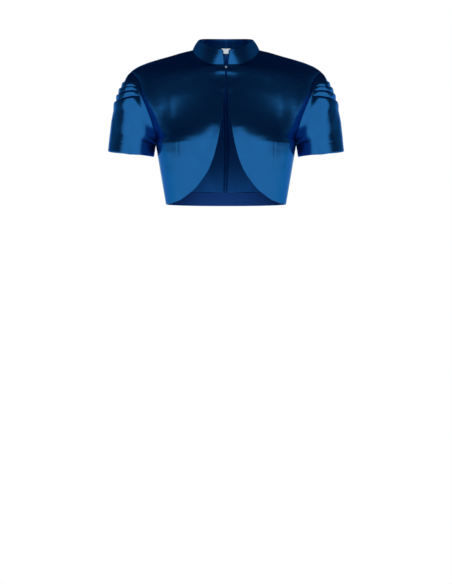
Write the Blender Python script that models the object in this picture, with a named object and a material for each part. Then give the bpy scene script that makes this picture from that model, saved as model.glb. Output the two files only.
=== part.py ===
"""Cropped satin bolero jacket with a stand collar, cutaway fronts and short sleeves with four
tucks over each sleeve head. It is shown as worn, with no wearer inside.

Metres, +Z up. The front faces -Y and the wearer's left is +X. The origin lies between the neck
ends of the two shoulder seams, where the wearer's shoulders carry the jacket.
"""

import math

import bmesh
import bpy
import numpy as np

# Cloth.
WALL = 0.0016
SEAM_GAP = 0.0004
LINING_WALL = 0.0010
FACING_WALL = 0.0012
LABEL_WALL = 0.0006
LAYER_GAP = 0.0004

# Sizes of the body of the jacket.
HEM_Z = -0.3245
UNDERARM_Z = -0.200
HEM_HALF_WIDTH = 0.126
BUST_HALF_WIDTH = 0.147
SHOULDER_TIP_Z = -0.046

# How square a row is. 2 is an ellipse, and the bust makes it squarer.
SQUARE = 2.2
SQUARER_AT_BUST = 0.35
BUST_SQUARE_RISES = (0.0, 0.3)
BUST_SQUARE_FADES = (0.4, 0.9)
# Above the underarm a row's ellipse runs past the armhole by this share.
RUN_PAST_ARMHOLE = 0.14
RUN_PAST_FULL = 0.75
# How far the chest and the shoulder blades swell between their edges, and over which t.
CHEST_SWELL = 0.009
CHEST_SWELL_RISES = (0.45, 0.78)
CHEST_SWELL_FADES = (0.86, 1.0)
LEVEL_ROWS_FADE = (0.8, 1.0)
RIDGE_RISES = (0.70, 1.0)

# Rows of a body panel run from its inner edge (centre front or back, then neckline) to its outer
# edge (side seam, then armhole). Their height number t is 0 at the hem and 1 at the shoulder seam.
T_UNDERARM = 0.40
T_PIT = 0.78
T_NAPE = 0.80
HEM_ROWS = (0.0, 0.020, 0.052)
LOWER_ROWS = 8
ARMHOLE_POINTS = (0.0, 0.07, 0.15, 0.24, 0.33, 0.42, 0.50, 0.555, 0.80, 0.86, 0.93, 1.0)
PANEL_COLUMNS = 12

# Cutaway centre-front edge of the left front, from the hem up to the neck.
# Columns: t, x (half the gap between the fronts), z.
FRONT_EDGE = (
    (0.000, 0.1160, -0.3245),
    (0.054, 0.0941, -0.3177),
    (0.097, 0.0788, -0.3079),
    (0.135, 0.0662, -0.2983),
    (0.196, 0.0491, -0.2786),
    (0.253, 0.0360, -0.2587),
    (0.305, 0.0271, -0.2386),
    (0.404, 0.0158, -0.1976),
    (0.506, 0.0088, -0.1555),
    (0.556, 0.0055, -0.1344),
    (0.626, 0.0035, -0.1046),
    (0.707, 0.0012, -0.0705),
    (0.760, 0.0006, -0.0449),
    (0.780, 0.0047, -0.0365),
)
FRONTS_MEET = 0.0006

# Centre-back edge of the left back. Columns: t, z.
BACK_EDGE = (
    (0.000, -0.3245),
    (0.095, -0.2950),
    (0.200, -0.2600),
    (0.300, -0.2235),
    (0.400, -0.1855),
    (0.600, -0.0980),
    (0.800, -0.0025),
)

# The shoulder seam, from the neck to the tip of the shoulder. Columns: x, z.
SHOULDER_LINE = (
    (0.070, -0.0010),
    (0.090, -0.0055),
    (0.118, -0.0135),
    (0.147, -0.0215),
    (0.170, -0.0290),
    (0.189, -0.0380),
    (0.200, -0.0460),
)

# How far the cloth stands forward on the centre line. Columns: z, y.
FRONT_DEPTH = (
    (-0.3245, -0.0940),
    (-0.3000, -0.1080),
    (-0.2700, -0.1195),
    (-0.2400, -0.1235),
    (-0.2100, -0.1212),
    (-0.1800, -0.1172),
    (-0.1650, -0.1135),
    (-0.1500, -0.1080),
    (-0.1200, -0.0953),
    (-0.0900, -0.0826),
    (-0.0615, -0.0712),
    (-0.0365, -0.0620),
)

# How far the cloth stands back on the centre line. Columns: z, y.
BACK_DEPTH = (
    (-0.3245, 0.0800),
    (-0.2900, 0.0815),
    (-0.2500, 0.0860),
    (-0.2100, 0.0940),
    (-0.1700, 0.1015),
    (-0.1300, 0.1050),
    (-0.0950, 0.1035),
    (-0.0600, 0.0965),
    (-0.0300, 0.0850),
    (-0.0010, 0.0700),
)

# The left half of the neckline, where the collar joins the body. q is 0 at the centre front and
# 1 at the centre back. Columns: q, x, y, z.
NECKLINE = (
    (0.00, 0.0047, -0.0620, -0.0365),
    (0.10, 0.0190, -0.0600, -0.0365),
    (0.21, 0.0350, -0.0520, -0.0335),
    (0.32, 0.0500, -0.0385, -0.0255),
    (0.42, 0.0620, -0.0210, -0.0145),
    (0.52, 0.0700, 0.0000, -0.0010),
    (0.62, 0.0690, 0.0200, -0.0005),
    (0.74, 0.0580, 0.0425, -0.0010),
    (0.87, 0.0330, 0.0620, -0.0020),
    (1.00, 0.0000, 0.0700, -0.0025),
)
Q_SHOULDER = 0.52

# The collar's top edge, over the same q. Columns: q, x, y, z.
COLLAR_TOP = (
    (0.00, 0.0050, -0.0590, -0.0085),
    (0.04, 0.0085, -0.0588, -0.0048),
    (0.10, 0.0160, -0.0570, -0.0022),
    (0.21, 0.0310, -0.0475, 0.0035),
    (0.32, 0.0440, -0.0340, 0.0105),
    (0.42, 0.0530, -0.0165, 0.0165),
    (0.52, 0.0575, 0.0020, 0.0210),
    (0.62, 0.0560, 0.0205, 0.0250),
    (0.74, 0.0475, 0.0400, 0.0285),
    (0.87, 0.0265, 0.0565, 0.0305),
    (1.00, 0.0000, 0.0620, 0.0310),
)
COLLAR_ROWS = 4
COLLAR_BOW = 0.0012

# Armholes: an oval seen from the side. Its x follows these columns: z, x at the front, x at
# the back.
ARMHOLE_HALF_DEPTH = 0.051
ARMHOLE_X = (
    (-0.200, 0.1470, 0.1470),
    (-0.191, 0.1447, 0.1480),
    (-0.178, 0.1470, 0.1525),
    (-0.154, 0.1535, 0.1620),
    (-0.130, 0.1625, 0.1710),
    (-0.111, 0.1700, 0.1775),
    (-0.092, 0.1770, 0.1820),
    (-0.073, 0.1815, 0.1860),
    (-0.058, 0.1880, 0.1910),
    (-0.046, 0.2000, 0.2000),
)

# Bust: each cup is a round rise in the front panel.
CUP_X = 0.085
CUP_Z = -0.225
CUP_RADIUS = 0.050
CUP_RISE = 0.0060
# The front stands further forward towards the armhole, over this range of t, and then turns in.
BUST_SIDE = 0.030
BUST_SIDE_RISES = (0.25, 0.45)
BUST_SIDE_END = 0.90
BUST_SIDE_SKEW = 1.3
BUST_SIDE_TURN = 8

# Sleeve rows run from the front of the armhole round the outside of the arm to its back. Their
# height number a is 0 at the underarm and 1 at the tip of the shoulder.
# Columns: a, x and z of the outermost point, then x, half depth and z of the front and back.
SLEEVE_CAP = (
    (0.00, 0.2425, -0.1700, 0.1960, 0.0535, -0.1870),
    (0.30, 0.2395, -0.1440, 0.1980, 0.0560, -0.1520),
    (0.50, 0.2345, -0.1210, 0.2010, 0.0550, -0.1230),
    (0.60, 0.2300, -0.1090, 0.2030, 0.0520, -0.1050),
    (0.65, 0.2255, -0.0925, 0.2040, 0.0490, -0.0910),
    (0.69, 0.2200, -0.0800, 0.2040, 0.0450, -0.0820),
    (0.75, 0.2145, -0.0690, 0.2040, 0.0375, -0.0700),
    (0.86, 0.2085, -0.0570, 0.2040, 0.0220, -0.0570),
    (1.00, 0.2000, -0.0460, 0.2000, 0.0000, -0.0460),
)
SLEEVE_HEM_OUTER = (0.2480, -0.2130)
SLEEVE_HEM_INNER = (0.1510, -0.2250)
SLEEVE_HEM_HALF_DEPTH = 0.0520
SLEEVE_HEM_TILT = 0.08
SLEEVE_LOWER_ROWS = 4
SLEEVE_COLUMNS = 7
ROUND_HANDLE = 0.5523
# A row's handles: how much of its width and drop they take at the armhole and at the side.
LEAVE_ACROSS = 0.7
LEAVE_DROP = 0.4
SIDE_DROP = 0.3
# How far the rows open at their ends, towards the tip of the shoulder, and from which a.
CAP_OPENING = 0.85
CAP_OPEN_BY = 0.45

# Tucks over the sleeve head. Each has a crease and, just below it, a fold that stands proud.
# Columns: a of the crease, a of the fold, height of the fold.
TUCKS = (
    (0.600, 0.587, 0.0042),
    (0.648, 0.637, 0.0034),
    (0.690, 0.680, 0.0034),
    (0.750, 0.738, 0.0026),
)
TUCKS_END = 0.80
TUCK_SAG = 0.7
TUCK_MIDDLE = 0.42
TUCK_CLOSES = (0.75, 1.0)
LAST_TUCK_FADE = 0.16
# Tucks fade towards the ends of a row, over this range of its sine.
TUCK_FADE = (0.12, 0.62)

# Inside of the back.
T_FACING = 0.095
PLEAT_HALF_WIDTH = 0.0018
PLEAT_FOOT = 0.0055
PLEAT_RISE = 0.0032
LABEL_HALF_WIDTH = 0.017
LABEL_BOTTOM_Z = 0.0002
LABEL_TOP_Z = 0.0107
LABEL_POINTS = 9
# The collar's x at the label's height, as a share of its x at the top edge.
COLLAR_LEAN = 0.93
# Sheets whose edges face each other: from this cosine on they stop sharing a direction.
EDGES_FACE = (0.05, 0.6)
EDGES_MEET = 0.006

# Hook and eye at the neck.
T_FASTENER = 0.768
FASTENER_WIRE = 0.00045
EYE_RADIUS = 0.0016
EYE_CENTRE_X = 0.0003
HOOK_BEND = 0.0013
HOOK_CENTRE_X = -0.0004
FOOT_REACH = 0.0060
FOOT_SPREAD = 0.0012
FOOT_CLEARANCE = 0.0031
EYE_SWEEP = math.radians(220)
EYE_POINTS = 9
HOOK_POINTS = 7
HOOK_TAIL = 1.6

SATIN = (0.012, 0.105, 0.330)
LINING_BLUE = (0.010, 0.045, 0.150)
LABEL_WHITE = (0.82, 0.80, 0.77)
SILVER = (0.75, 0.77, 0.80)


# Curves.


def curve_through(table):
    """A smooth curve over the table's first column, through the other columns of its rows."""
    rows = np.array(table, float)
    keys, values = rows[:, 0], rows[:, 1:]
    steps = np.diff(keys)[:, None]
    slopes = np.diff(values, axis=0) / steps
    inner = (slopes[:-1] * steps[1:] + slopes[1:] * steps[:-1]) / (steps[1:] + steps[:-1])
    tangents = np.vstack([slopes[:1], inner, slopes[-1:]])

    def at(key):
        i = int(np.clip(np.searchsorted(keys, key) - 1, 0, len(steps) - 1))
        h = steps[i, 0]
        u = (key - keys[i]) / h
        start = (1 + 2 * u) * (1 - u) ** 2 * values[i] + u * (1 - u) ** 2 * h * tangents[i]
        end = u * u * (3 - 2 * u) * values[i + 1] + u * u * (u - 1) * h * tangents[i + 1]
        return start + end

    return at


front_edge = curve_through(FRONT_EDGE)
back_edge = curve_through(BACK_EDGE)
front_depth = curve_through(FRONT_DEPTH)
back_depth = curve_through(BACK_DEPTH)
neckline = curve_through(NECKLINE)
collar_top = curve_through(COLLAR_TOP)
armhole_x = curve_through(ARMHOLE_X)
shoulder_line = curve_through(SHOULDER_LINE)
sleeve_cap = curve_through(SLEEVE_CAP)


def smoothstep(low, high, value):
    """0 below low and 1 above high, with a soft ramp between them."""
    u = min(1.0, max(0.0, (value - low) / (high - low)))
    return u * u * (3 - 2 * u)


def armhole(a, toward):
    """Point of the left armhole. toward is -1 at the front and 1 at the back."""
    middle = (UNDERARM_Z + SHOULDER_TIP_Z) / 2
    half = (SHOULDER_TIP_Z - UNDERARM_Z) / 2
    z = middle - half * math.cos(math.pi * a)
    x = armhole_x(z)[0 if toward < 0 else 1]
    y = toward * ARMHOLE_HALF_DEPTH * math.sin(math.pi * a)
    return np.array((x, y, z))


def outer_edge(t, toward):
    """Point of the side seam or, above the underarm, of the armhole."""
    if t > T_UNDERARM:
        return armhole((t - T_UNDERARM) / (1 - T_UNDERARM), toward)
    u = t / T_UNDERARM
    x = HEM_HALF_WIDTH + (BUST_HALF_WIDTH - HEM_HALF_WIDTH) * u
    return np.array((x, 0.0, HEM_Z + (UNDERARM_Z - HEM_Z) * u))


# Body panels.


def section_shape(t):
    """How square a row is (2 is an ellipse), and how far its ellipse runs past its outer edge."""
    bust = smoothstep(*BUST_SQUARE_RISES, t) - smoothstep(*BUST_SQUARE_FADES, t)
    run_past = 1.0 + RUN_PAST_ARMHOLE * smoothstep(T_UNDERARM, RUN_PAST_FULL, t)
    return SQUARE + SQUARER_AT_BUST * bust, run_past


def inner_edge(t, toward):
    """Point of a panel's inner edge, and whether its y is still to be worked out."""
    if toward < 0 and t <= T_PIT:
        x, z = front_edge(t)
        return np.array((max(x, FRONTS_MEET), front_depth(z)[0], z)), True
    if toward < 0:
        return neckline(Q_SHOULDER * (t - T_PIT) / (1 - T_PIT)), False
    if t <= T_NAPE:
        z = back_edge(t)[0]
        return np.array((0.0, back_depth(z)[0], z)), True
    return neckline(1 - (1 - Q_SHOULDER) * (t - T_NAPE) / (1 - T_NAPE)), False


def ridge_lift(x):
    """How far the shoulder seam lies above a straight line from neck to tip."""
    (neck_x, neck_z), (tip_x, tip_z) = SHOULDER_LINE[0], SHOULDER_LINE[-1]
    x = min(tip_x, max(neck_x, x))
    return shoulder_line(x)[0] - neck_z - (tip_z - neck_z) * (x - neck_x) / (tip_x - neck_x)


def cup(x, z):
    """Extra forward stand of the cloth over the bust."""
    far = ((x - CUP_X) ** 2 + (z - CUP_Z) ** 2) / CUP_RADIUS**2
    return CUP_RISE * math.exp(-far)


def bust_side(s, t):
    """Extra forward stand of the front between the bust and the armhole."""
    low, peak = BUST_SIDE_RISES
    fall = min(1.0, max(0.0, (BUST_SIDE_END - t) / (BUST_SIDE_END - peak)))
    across = max(0.0, s) ** BUST_SIDE_SKEW * (1 - s**BUST_SIDE_TURN)
    return BUST_SIDE * smoothstep(low, peak, t) * fall * across


def panel_point(s, t, toward):
    """Point of a left-hand panel: s is 0 at its inner edge and 1 at its outer edge."""
    inner, on_centre_profile = inner_edge(t, toward)
    outer = outer_edge(t, toward)
    square, run_past = section_shape(t)
    reach = run_past * outer[0]
    low = math.asin(min(1.0, (inner[0] / reach) ** (square / 2)))
    high = math.asin((1 / run_past) ** (square / 2))
    angle = low + (high - low) * s

    def stand(at):
        return max(0.0, math.cos(at)) ** (2 / square)

    inner_y = inner[1]
    if on_centre_profile:
        share = (stand(low) - stand(high)) / (1 - stand(high))
        inner_y = outer[1] + (inner[1] - outer[1]) * share
    x = reach * math.sin(angle) ** (2 / square)
    share = (stand(angle) - stand(high)) / (stand(low) - stand(high))
    y = outer[1] + (inner_y - outer[1]) * share
    swell = smoothstep(*CHEST_SWELL_RISES, t) * (1 - smoothstep(*CHEST_SWELL_FADES, t))
    y += toward * CHEST_SWELL * swell * math.sin(math.pi * s)
    across = (x - inner[0]) / (outer[0] - inner[0])
    z = inner[2] + (outer[2] - inner[2]) * (s + (across - s) * smoothstep(*LEVEL_ROWS_FADE, t))
    z += ridge_lift(x) * smoothstep(*RIDGE_RISES, t)
    if toward < 0:
        y -= cup(x, z) * (1 - s**BUST_SIDE_TURN) + bust_side(s, t)
    return np.array((x, y, z))


def seam_heights():
    """Heights a at which the panels and the sleeve have a point on the armhole."""
    corners = [(t - T_UNDERARM) / (1 - T_UNDERARM) for t in (T_PIT, T_NAPE)]
    return sorted([*ARMHOLE_POINTS, *corners, *(crease for crease, _, _ in TUCKS)])


def panel_rows():
    """Height numbers t of a body panel's rows."""
    lower = [*HEM_ROWS, *np.linspace(T_FACING, T_UNDERARM, LOWER_ROWS)]
    upper = [round(T_UNDERARM + (1 - T_UNDERARM) * a, 9) for a in seam_heights()[1:]]
    return lower + upper


def panel_grid(toward):
    """Rows of points of the left front (toward -1) or the left back (toward 1)."""
    columns = np.linspace(0, 1, PANEL_COLUMNS + 1)
    return [[panel_point(s, t, toward) for s in columns] for t in panel_rows()]


# Sleeve.


def quarter(start, leave, end, arrive):
    """Points from start up to but not including end, on one cubic with those two handles."""
    points = []
    for i in range(SLEEVE_COLUMNS):
        u = i / SLEEVE_COLUMNS
        v = 1 - u
        points.append(
            v**3 * start + 3 * v * v * u * (start + leave) + 3 * v * u * u * (end + arrive) + u**3 * end
        )
    return points


def sleeve_row(front_end, front, outer, back, back_end, opening):
    """A row through five points. opening is 0 where its ends close a tube and 1 at the top."""
    rows = []
    half_depth = (back[1] - front[1]) / 2
    for end, side, toward in ((front_end, front, -1), (back_end, back, 1)):
        across, depth, drop = side[0] - end[0], abs(side[1] - end[1]), side[2] - end[2]
        past = outer - side
        turn = opening * math.pi / 2
        leave_x = LEAVE_ACROSS * across * math.sin(turn)
        leave_y = toward * depth * math.cos(turn)
        leave = ROUND_HANDLE * np.array((leave_x, leave_y, LEAVE_DROP * drop))
        into_side = np.array((ROUND_HANDLE * across, 0.0, SIDE_DROP * drop))
        out_of_side = np.array((ROUND_HANDLE * past[0], 0.0, LEAVE_DROP * past[2]))
        into_outer = np.array((0.0, toward * ROUND_HANDLE * half_depth, 0.0))
        first = quarter(end, leave, side, -into_side)
        second = quarter(side, out_of_side, outer, into_outer)
        rows.append(first + second)
    return rows[0] + [outer] + rows[1][::-1]


def sleeve_seam(a, toward):
    """Point of the sleeve's edge: on the armhole, or between two points that it shares."""
    heights = seam_heights()
    i = min(int(np.searchsorted(heights, a, side="right")) - 1, len(heights) - 2)
    u = (a - heights[i]) / (heights[i + 1] - heights[i])
    return (1 - u) * armhole(heights[i], toward) + u * armhole(heights[i + 1], toward)


def cap_row(a):
    """Row of the sleeve above the underarm, at height number a."""
    outer_x, outer_z, side_x, half_depth, side_z = sleeve_cap(a)
    outer = np.array((outer_x, 0.0, outer_z))
    front = np.array((side_x, -half_depth, side_z))
    back = np.array((side_x, half_depth, side_z))
    opening = CAP_OPENING * smoothstep(0.0, CAP_OPEN_BY, a)
    return sleeve_row(sleeve_seam(a, -1), front, outer, back, sleeve_seam(a, 1), opening)


def hem_row():
    """The sleeve's lower edge, an oval that is a little lower at the front."""
    outer = np.array((SLEEVE_HEM_OUTER[0], 0.0, SLEEVE_HEM_OUTER[1]))
    inner = np.array((SLEEVE_HEM_INNER[0], 0.0, SLEEVE_HEM_INNER[1]))
    middle = (outer + inner) / 2
    step = np.array((0.0, SLEEVE_HEM_HALF_DEPTH, SLEEVE_HEM_HALF_DEPTH * SLEEVE_HEM_TILT))
    return sleeve_row(inner, middle - step, outer, middle + step, inner, 0.0)


def sleeve_heights():
    """Height numbers a of the cap's rows, with those of the tucks between the shared ones."""
    extra = []
    creases = [crease for crease, _, _ in TUCKS] + [TUCKS_END]
    for (crease, fold, _), following in zip(TUCKS, creases[1:]):
        extra += [fold, crease + (following - crease) * TUCK_MIDDLE]
    return sorted({*seam_heights(), *extra})


def tuck_height(a):
    """How far the cloth stands out at height number a: folds, and creases between them."""
    lower = 0.0
    for crease, fold, rise in TUCKS:
        if fold <= a <= crease:
            return rise * (crease - a) / (crease - fold)
        if a < fold and lower == 0.0:
            return rise * (1 - smoothstep(0, LAST_TUCK_FADE, fold - a))
        if lower < a < fold:
            along = (fold - a) / (fold - lower)
            return rise * (1 - TUCK_SAG * along) * (1 - smoothstep(*TUCK_CLOSES, along))
        lower = crease
    return 0.0


def sleeve_grid():
    """Rows of the left sleeve from its hem to the tip of the shoulder, and the tucks' heights."""
    low, high = hem_row(), cap_row(0.0)
    rows = []
    for i in range(SLEEVE_LOWER_ROWS):
        u = i / SLEEVE_LOWER_ROWS
        rows.append([(1 - u) * p + u * q for p, q in zip(low, high)])
    raised = [0.0] * len(rows)
    for a in sleeve_heights():
        rows.append(cap_row(a))
        raised.append(tuck_height(a))
    columns = len(low) - 1
    lift = []
    for height in raised:
        across = [math.sin(math.pi * j / columns) for j in range(columns + 1)]
        lift.append([height * smoothstep(*TUCK_FADE, c) for c in across])
    return rows, lift


# Cloth walls.


class Sheet:
    """A sheet of points and faces that becomes a cloth wall. Grids that meet share points."""

    def __init__(self, name, *grids, flip=False, lift=None):
        self.name = name
        self.points, self.faces, self.lift, self.ids = [], [], [], []
        index = {}
        for rows in grids:
            ids = []
            for i, row in enumerate(rows):
                ids.append([])
                for j, point in enumerate(row):
                    key = tuple(np.round(point, 6))
                    if key not in index:
                        index[key] = len(self.points)
                        self.points.append(np.array(point, float))
                        self.lift.append(lift[i][j] if lift else 0.0)
                    ids[-1].append(index[key])
            self.add_faces(ids, flip)
            self.ids += ids
        self.points = np.array(self.points)
        self.normals = self.vertex_normals()
        self.loops = self.boundary()

    def add_faces(self, ids, flip):
        """Two triangles for each cell of a grid, the same in every layer and mirrored in x."""
        for low, high in zip(ids, ids[1:]):
            for j in range(len(low) - 1):
                a, b, c, d = low[j], low[j + 1], high[j + 1], high[j]
                on_left = sum(self.points[v][0] for v in (a, b, c, d)) > 0
                for corners in ((a, b, c), (a, c, d)) if on_left else ((a, b, d), (b, c, d)):
                    if len(set(corners)) == 3:
                        self.faces.append(corners[::-1] if flip else corners)

    def vertex_normals(self):
        normals = np.zeros_like(self.points)
        for face in self.faces:
            a, b, c = self.points[list(face)]
            normals[list(face)] += np.cross(b - a, c - a)
        return normals / np.linalg.norm(normals, axis=1)[:, None]

    def boundary(self):
        """Each boundary point's neighbours along the edge, before and after it."""
        edges = {(face[k - 1], face[k]) for face in self.faces for k in range(3)}
        open_edges = [(a, b) for a, b in edges if (b, a) not in edges]
        after = dict(open_edges)
        before = {b: a for a, b in open_edges}
        return {v: (before[v], after[v]) for v in after}

    def inset(self, v):
        """Step from a boundary point into the sheet that opens half of the seam gap."""
        sides = []
        for a, b in ((self.loops[v][0], v), (v, self.loops[v][1])):
            along = self.points[b] - self.points[a]
            across = np.cross(self.normals[v], along)
            sides.append(across / np.linalg.norm(across))
        return SEAM_GAP / 2 * (sides[0] + sides[1]) / max(0.4, 1 + sides[0] @ sides[1])


def mirrored(sheet, name):
    """The same sheet on the wearer's other side."""
    twin = object.__new__(Sheet)
    twin.name = name
    twin.points = sheet.points * (-1, 1, 1)
    twin.normals = sheet.normals * (-1, 1, 1)
    twin.lift = list(sheet.lift)
    twin.faces = [face[::-1] for face in sheet.faces]
    twin.loops = {v: (after, before) for v, (before, after) in sheet.loops.items()}
    return twin


def seam_directions(sheets):
    """For each sheet, the direction of its wall at each point.

    Sheets that meet share it, but for those that face each other, as they do at the underarm:
    their walls grow apart by themselves.
    """
    edges = [np.array(sorted(sheet.loops)) for sheet in sheets]
    shared = []
    for k, sheet in enumerate(sheets):
        directions = sheet.normals.copy()
        for v in edges[k]:
            total = sheet.normals[v].copy()
            for m, other in enumerate(sheets):
                if m == k:
                    continue
                far = np.linalg.norm(other.points[edges[m]] - sheet.points[v], axis=1)
                if far.min() < EDGES_MEET:
                    normal = other.normals[edges[m][far.argmin()]]
                    facing = normal @ sheet.inset(v) / (SEAM_GAP / 2)
                    total += normal * (1 - smoothstep(*EDGES_FACE, facing))
            directions[v] = total / np.linalg.norm(total)
        shared.append(directions)
    return shared


def make_material(name, colour, roughness, metallic=0.0):
    material = bpy.data.materials.new(name)
    material.use_nodes = True
    shader = material.node_tree.nodes["Principled BSDF"]
    shader.inputs["Base Color"].default_value = (*colour, 1.0)
    shader.inputs["Roughness"].default_value = roughness
    shader.inputs["Metallic"].default_value = metallic
    return material


def add_wall(sheet, directions, wall, material, collection):
    """A closed cloth wall: the sheet is its outer face, and the wall grows inwards from it."""
    outer = sheet.points.copy()
    for v in sheet.loops:
        outer[v] += sheet.inset(v)
    slant = np.maximum(0.6, (directions * sheet.normals).sum(axis=1))
    inner = outer - directions * (wall / slant)[:, None]
    outer = outer + sheet.normals * np.array(sheet.lift)[:, None]
    count = len(outer)
    bm = bmesh.new()
    vertices = [bm.verts.new(p) for p in (*outer, *inner)]
    for face in sheet.faces:
        bm.faces.new([vertices[v] for v in face])
        bm.faces.new([vertices[v + count] for v in reversed(face)])
    for v, (_, after) in sheet.loops.items():
        bm.faces.new([vertices[after], vertices[v], vertices[v + count], vertices[after + count]])
    mesh = bpy.data.meshes.new(sheet.name)
    bm.to_mesh(mesh)
    bm.free()
    mesh.shade_smooth()
    mesh.set_sharp_from_angle(angle=math.radians(40))
    mesh.materials.append(material)
    obj = bpy.data.objects.new(sheet.name, mesh)
    collection.objects.link(obj)
    return obj


# Collar, lining, facing and label.


def collar_sheet():
    """The stand collar, from the left front end round the back to the right front end."""
    front = [t for t in panel_rows() if t >= T_PIT]
    back = [t for t in panel_rows() if t >= T_NAPE]
    left = [Q_SHOULDER * (t - T_PIT) / (1 - T_PIT) for t in front]
    left += [1 - (1 - Q_SHOULDER) * (t - T_NAPE) / (1 - T_NAPE) for t in back[-2::-1]]
    rows = []
    for i in range(COLLAR_ROWS + 1):
        v = i / COLLAR_ROWS
        half = []
        for q in left:
            base, top = neckline(q), collar_top(q)
            outward = np.array((top[0], top[1], 0.0)) / math.hypot(top[0], top[1])
            half.append((1 - v) * base + v * top + outward * COLLAR_BOW * math.sin(math.pi * v))
        half[-1][0] = 0.0
        other = [point * (-1, 1, 1) for point in half[-2::-1]]
        rows.append(half + other)
    return Sheet("collar", rows, flip=False)


def layer_points(back, directions, low, high):
    """Points of the left back's rows low to high, moved in past its wall, in rows."""
    depth = WALL + LAYER_GAP
    slant = np.maximum(0.6, (directions * back.normals).sum(axis=1))
    moved = back.points - directions * (depth / slant)[:, None]
    return [[moved[v].copy() for v in row] for row in back.ids[low : high + 1]]


def whole_row(half):
    """A row of points from the right side seam to the left one, from its left half."""
    return [point * (-1, 1, 1) for point in half[:0:-1]] + half


def facing_sheet(back, directions):
    """The band of cloth that faces the hem of the back."""
    top = panel_rows().index(T_FACING)
    rows = [whole_row(half) for half in layer_points(back, directions, 0, top)]
    return Sheet("back_hem_facing", rows, flip=True)


def lining_sheet(back, directions):
    """The lining of the back, with an ease pleat that stands proud along the centre back."""
    rows, shoulder = [], []
    heights = panel_rows()
    bottom = heights.index(T_FACING)
    for t, half in zip(heights[bottom:], layer_points(back, directions, bottom, len(heights) - 1)):
        if t <= T_NAPE:
            middle = []
            for x, rise in ((0.0, PLEAT_RISE), (PLEAT_HALF_WIDTH, PLEAT_RISE), (PLEAT_FOOT, 0.0)):
                point = half[0] + (half[1] - half[0]) * x / half[1][0]
                middle.append(point - np.array((0.0, rise, 0.0)))
            rows.append(whole_row(middle + half[1:]))
        if t == T_NAPE:
            shoulder.append(middle + half[1:])
        if t > T_NAPE:
            shoulder.append([half[0]] * 3 + half[1:])
    other = [[point * (-1, 1, 1) for point in row[::-1]] for row in shoulder]
    return Sheet("back_lining", rows, shoulder, other, flip=True)


def label_sheet():
    """A plain woven label inside the collar at the centre back."""
    rows = []
    for z in (LABEL_BOTTOM_Z, LABEL_TOP_Z):
        row = []
        for x in np.linspace(-LABEL_HALF_WIDTH, LABEL_HALF_WIDTH, LABEL_POINTS):
            low, high = 0.6, 1.0
            for _ in range(30):
                q = (low + high) / 2
                if collar_top(q)[0] > abs(x) * COLLAR_LEAN:
                    low = q
                else:
                    high = q
            base, top = neckline(q), collar_top(q)
            v = (z - base[2]) / (top[2] - base[2])
            y = (1 - v) * base[1] + v * top[1] + COLLAR_BOW * math.sin(math.pi * v)
            row.append(np.array((x, y - (WALL + 2 * LAYER_GAP), z)))
        rows.append(row)
    return Sheet("neck_label", rows, flip=True)


# Hook and eye.


def add_wire(name, route, material, collection):
    """A round wire along the route, closed at both ends."""
    data = bpy.data.curves.new(name, "CURVE")
    data.dimensions = "3D"
    data.bevel_depth = FASTENER_WIRE
    data.bevel_resolution = 1
    data.use_fill_caps = True
    spline = data.splines.new("POLY")
    spline.points.add(len(route) - 1)
    for point, place in zip(spline.points, route):
        point.co = (*place, 1.0)
    data.materials.append(material)
    obj = bpy.data.objects.new(name, data)
    collection.objects.link(obj)
    return obj


def fastener_seat():
    """Point of the left front that the fastener's feet lie behind, at FOOT_REACH."""
    low, high = 0.0, 0.3
    for _ in range(30):
        s = (low + high) / 2
        if panel_point(s, T_FASTENER, -1)[0] < FOOT_REACH:
            low = s
        else:
            high = s
    x, y, z = panel_point(low, T_FASTENER, -1)
    return y + FOOT_CLEARANCE, z


def eye_route():
    """Two feet on the right front, joined by a round loop that crosses the centre line."""
    seat, z = fastener_seat()
    loop = seat + HOOK_BEND
    route = [(-FOOT_REACH, seat, z + FOOT_SPREAD), (-FOOT_REACH / 2, loop, z + FOOT_SPREAD)]
    for i in range(EYE_POINTS):
        angle = EYE_SWEEP / 2 - EYE_SWEEP * i / (EYE_POINTS - 1)
        x = EYE_CENTRE_X + EYE_RADIUS * math.cos(angle)
        route.append((x, loop, z + EYE_RADIUS * math.sin(angle)))
    route += [(-FOOT_REACH / 2, loop, z - FOOT_SPREAD), (-FOOT_REACH, seat, z - FOOT_SPREAD)]
    return route


def hook_route():
    """One foot on the left front, and a bend that passes back through the eye."""
    seat, z = fastener_seat()
    route = [(FOOT_REACH, seat, z), (FOOT_REACH / 3, seat, z)]
    for i in range(HOOK_POINTS):
        angle = math.pi * i / (HOOK_POINTS - 1)
        x = HOOK_CENTRE_X - HOOK_BEND * math.sin(angle)
        route.append((x, seat + HOOK_BEND * (1 - math.cos(angle)), z))
    route.append((HOOK_CENTRE_X + HOOK_BEND * HOOK_TAIL, seat + 2 * HOOK_BEND, z))
    return route


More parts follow.
